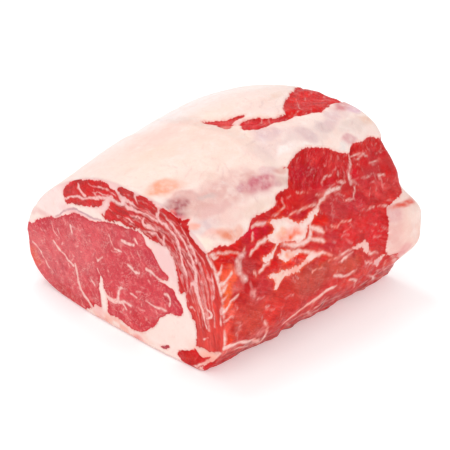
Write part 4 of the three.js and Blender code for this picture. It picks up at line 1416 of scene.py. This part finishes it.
class Nodes:
    """Adds shader nodes to a material."""

    def __init__(self, material):
        material.use_nodes = True
        self.tree = material.node_tree
        self.tree.nodes.clear()

    def add(self, kind, inputs=None, **settings):
        made = self.tree.nodes.new("ShaderNode" + kind)
        for name, value in settings.items():
            setattr(made, name, value)
        for name, value in (inputs or {}).items():
            self.set(made.inputs[name], value)
        return made

    def set(self, socket, value):
        if isinstance(value, bpy.types.NodeSocket):
            self.tree.links.new(value, socket)
        elif socket.type == "RGBA" and len(value) == 3:
            socket.default_value = (*value, 1)
        else:
            socket.default_value = value

    def attribute(self, name, output):
        return self.add("Attribute", attribute_name=name).outputs[output]

    def math(self, operation, a, b=0.0, clamp=False):
        made = self.add("Math", operation=operation, use_clamp=clamp)
        self.set(made.inputs[0], a)
        self.set(made.inputs[1], b)
        return made.outputs[0]

    def noise(self, place, scale, detail=2.0, roughness=0.5):
        inputs = {"Vector": place, "Scale": scale, "Detail": detail, "Roughness": roughness}
        return self.add("TexNoise", inputs).outputs["Fac"]

    def spread(self, value, low, high, to_low=0.0, to_high=1.0):
        """Maps low..high smoothly to to_low..to_high."""
        inputs = {
            "Value": value,
            "From Min": low,
            "From Max": high,
            "To Min": to_low,
            "To Max": to_high,
        }
        return self.add("MapRange", inputs, interpolation_type="SMOOTHSTEP").outputs["Result"]

    def mix(self, share, a, b):
        made = self.add("Mix", data_type="RGBA")
        self.set(made.inputs["Factor"], share)
        self.set(made.inputs[6], a)
        self.set(made.inputs[7], b)
        return made.outputs[2]

    def scaled(self, vector, scale):
        made = self.add("VectorMath", operation="SCALE")
        self.set(made.inputs[0], vector)
        self.set(made.inputs["Scale"], scale)
        return made.outputs[0]


# The clouds in the fat: noise scale, detail and roughness, where they start and are full, how
# strongly they show, and the colour.
FAT_CLOUDS = (
    (0.07, 4.0, 0.6, 0.48, 0.75, 0.3, (244, 204, 192)),
    (0.11, 4.0, 0.6, 0.5, 0.75, 0.35, (252, 238, 232)),
    (0.4, 3.0, 0.5, 0.52, 0.8, 0.3, (238, 190, 182)),
)

# What is the same all over the surface.
FINISH = {
    "Subsurface Weight": 0.08,
    "Subsurface Radius": (1.0, 0.4, 0.3),
    "Subsurface Scale": 0.002,
    "Specular IOR Level": 0.18,
    "Coat Weight": 0.05,
    "Coat Roughness": 0.2,
}


def fat_cover(nodes, place, grain, marble):
    """The drawn fat's depth with a ragged edge, and how much fat shows with veins and marbling."""
    ragged = nodes.spread(nodes.noise(place, 0.5, 3.0), 0.25, 0.75, -0.5, 0.5)
    edge = nodes.math("ADD", nodes.attribute("fat", "Fac"), ragged)
    drawn = nodes.spread(edge, -0.25, 0.3)
    worn = nodes.spread(nodes.noise(place, 0.8, 2.0), 0.3, 0.6, 0.7, 1.15)
    vein = nodes.math("MULTIPLY", nodes.attribute("vein", "Fac"), worn, clamp=True)
    thread = nodes.math("SUBTRACT", nodes.noise(grain, 0.3, 4.0, 0.6), 0.5)
    thread = nodes.spread(nodes.math("ABSOLUTE", thread), 0.0, 0.025, 1.0, 0.0)
    patchy = nodes.spread(nodes.noise(grain, 0.14, 2.0), 0.46, 0.6)
    fine = nodes.math("MULTIPLY", nodes.math("MULTIPLY", thread, patchy), marble)
    fine = nodes.math("MULTIPLY", fine, 0.4)
    return edge, nodes.math("MAXIMUM", drawn, nodes.math("MAXIMUM", vein, fine))


def meat_colour(nodes, place, grain, marble, fibre):
    """The meat, with fibres a millimetre or two across and darker and paler mottles."""
    broad = nodes.spread(nodes.noise(place, 0.1, 3.0), 0.3, 0.7, -0.06, 0.08)
    light = nodes.math("ADD", nodes.spread(fibre, 0.3, 0.7, 0.85, 1.13), broad)
    colour = nodes.scaled(nodes.attribute("meat", "Color"), light)
    mottle = nodes.noise(grain, 0.34, 3.0, 0.55)
    pale = nodes.spread(mottle, 0.52, 0.72, 0.0, 0.26)
    pale = nodes.math("MULTIPLY", pale, nodes.math("ADD", marble, 0.1))
    colour = nodes.mix(pale, colour, PALE_MOTTLE)
    deep = nodes.spread(mottle, 0.28, 0.48, 0.4, 0.0)
    deep = nodes.math("SUBTRACT", deep, nodes.math("MULTIPLY", marble, 0.25), clamp=True)
    return nodes.mix(deep, colour, DEEP_MOTTLE)


def fat_colour(nodes, place, edge):
    """The fat, waxy and clouded, and pink where it is thin and the meat shows through it."""
    colour = nodes.attribute("tint", "Color")
    for scale, detail, roughness, start, full, share, tone in FAT_CLOUDS:
        cloud = nodes.noise(place, scale, detail, roughness)
        colour = nodes.mix(nodes.spread(cloud, start, full, 0.0, share), colour, srgb(*tone))
    return nodes.mix(nodes.spread(edge, 0.2, 1.7, 0.34, 0.0), colour, THIN_FAT_PINK)


def raw_beef_material():
    """Fat over meat by their share, with a wet, slightly bumpy surface."""
    material = bpy.data.materials.new("raw_beef")
    nodes = Nodes(material)
    place = nodes.scaled(nodes.add("TexCoord").outputs["Object"], 1000.0)
    grain = nodes.attribute("grain", "Vector")
    marble = nodes.attribute("marble", "Fac")
    fibre = nodes.noise(grain, 1.1, 4.0, 0.6)
    edge, share = fat_cover(nodes, place, grain, marble)
    meat = meat_colour(nodes, place, grain, marble, fibre)

    height = nodes.math("ADD", nodes.math("MULTIPLY", fibre, 0.6), nodes.math("MULTIPLY", share, 0.35))
    height = nodes.math("ADD", height, nodes.math("MULTIPLY", nodes.noise(place, 0.7, 4.0), 0.6))
    bump = nodes.add("Bump", {"Height": height, "Strength": 0.6, "Distance": 0.0008})
    shader = nodes.add("BsdfPrincipled", {
        "Base Color": nodes.mix(share, meat, fat_colour(nodes, place, edge)),
        "Roughness": nodes.spread(nodes.noise(place, 0.3, 3.0), 0.3, 0.7, 0.3, 0.52),
        "Normal": bump.outputs["Normal"],
        **FINISH,
    })
    output = nodes.add("OutputMaterial")
    nodes.tree.links.new(shader.outputs[0], output.inputs["Surface"])
    return material


# ---- The studio -----------------------------------------------------------------------------

CAMERA_PLACE = np.array((425.3, -402.0, 373.6))
CAMERA_TURN = math.radians(44.96)
CAMERA_DROP = math.radians(25.09)
LENS = 88.18
SENSOR = 36.0
FLOOR_HALF = 4.0
FLOOR_FINISH = {
    "Base Color": (0.84, 0.84, 0.84, 1),
    "Roughness": 0.9,
    "Specular IOR Level": 0.1,
    "Emission Color": (1, 1, 1, 1),
    "Emission Strength": 0.3,
}
WORLD_STRENGTH = 0.67

# Name, place, size and power; all aim at the joint.
LIGHTS = (
    ("key", (-0.6, 0.15, 1.2), 0.7, 5.6),
    ("front", (0.0, -1.1, 0.7), 0.9, 2.4),
    ("right", (1.0, -0.25, 0.6), 0.9, 3.0),
)
LIGHTS_AIM = (0, 0, 0.05)


def make_camera(to_frame):
    data = bpy.data.cameras.new("camera")
    data.lens = LENS
    data.sensor_width = SENSOR
    camera = bpy.data.objects.new("camera", data)
    camera.location = CAMERA_PLACE * MM + to_frame
    camera.rotation_euler = (math.pi / 2 - CAMERA_DROP, 0, CAMERA_TURN)
    bpy.context.scene.collection.objects.link(camera)
    bpy.context.scene.camera = camera


def make_floor():
    mesh = bpy.data.meshes.new("floor")
    corners = [(x * FLOOR_HALF, y * FLOOR_HALF, 0) for x, y in ((-1, -1), (1, -1), (1, 1), (-1, 1))]
    mesh.from_pydata(corners, [], [(0, 1, 2, 3)])
    material = bpy.data.materials.new("floor")
    material.use_nodes = True
    shader = material.node_tree.nodes["Principled BSDF"]
    for name, value in FLOOR_FINISH.items():
        shader.inputs[name].default_value = value
    mesh.materials.append(material)
    floor = bpy.data.objects.new("floor", mesh)
    bpy.context.scene.collection.objects.link(floor)
    floor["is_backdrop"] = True


def make_light(name, place, size, power):
    data = bpy.data.lights.new(name, "AREA")
    data.shape = "DISK"
    data.size = size
    data.energy = power
    lamp = bpy.data.objects.new(name, data)
    lamp.location = place
    aim = Vector(LIGHTS_AIM) - Vector(place)
    lamp.rotation_euler = aim.to_track_quat("-Z", "Y").to_euler()
    bpy.context.scene.collection.objects.link(lamp)


def make_studio(to_frame):
    make_camera(to_frame)
    make_floor()
    world = bpy.data.worlds.new("studio")
    world.use_nodes = True
    background = world.node_tree.nodes["Background"]
    background.inputs["Color"].default_value = (1, 1, 1, 1)
    background.inputs["Strength"].default_value = WORLD_STRENGTH
    bpy.context.scene.world = world
    for light in LIGHTS:
        make_light(*light)
    bpy.context.scene.view_settings.view_transform = "Standard"
    bpy.context.scene.view_settings.look = "None"


piece, to_frame = make_piece()
piece.data.materials.append(raw_beef_material())
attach(piece, "root")
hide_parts("ribeye")
make_studio(to_frame)
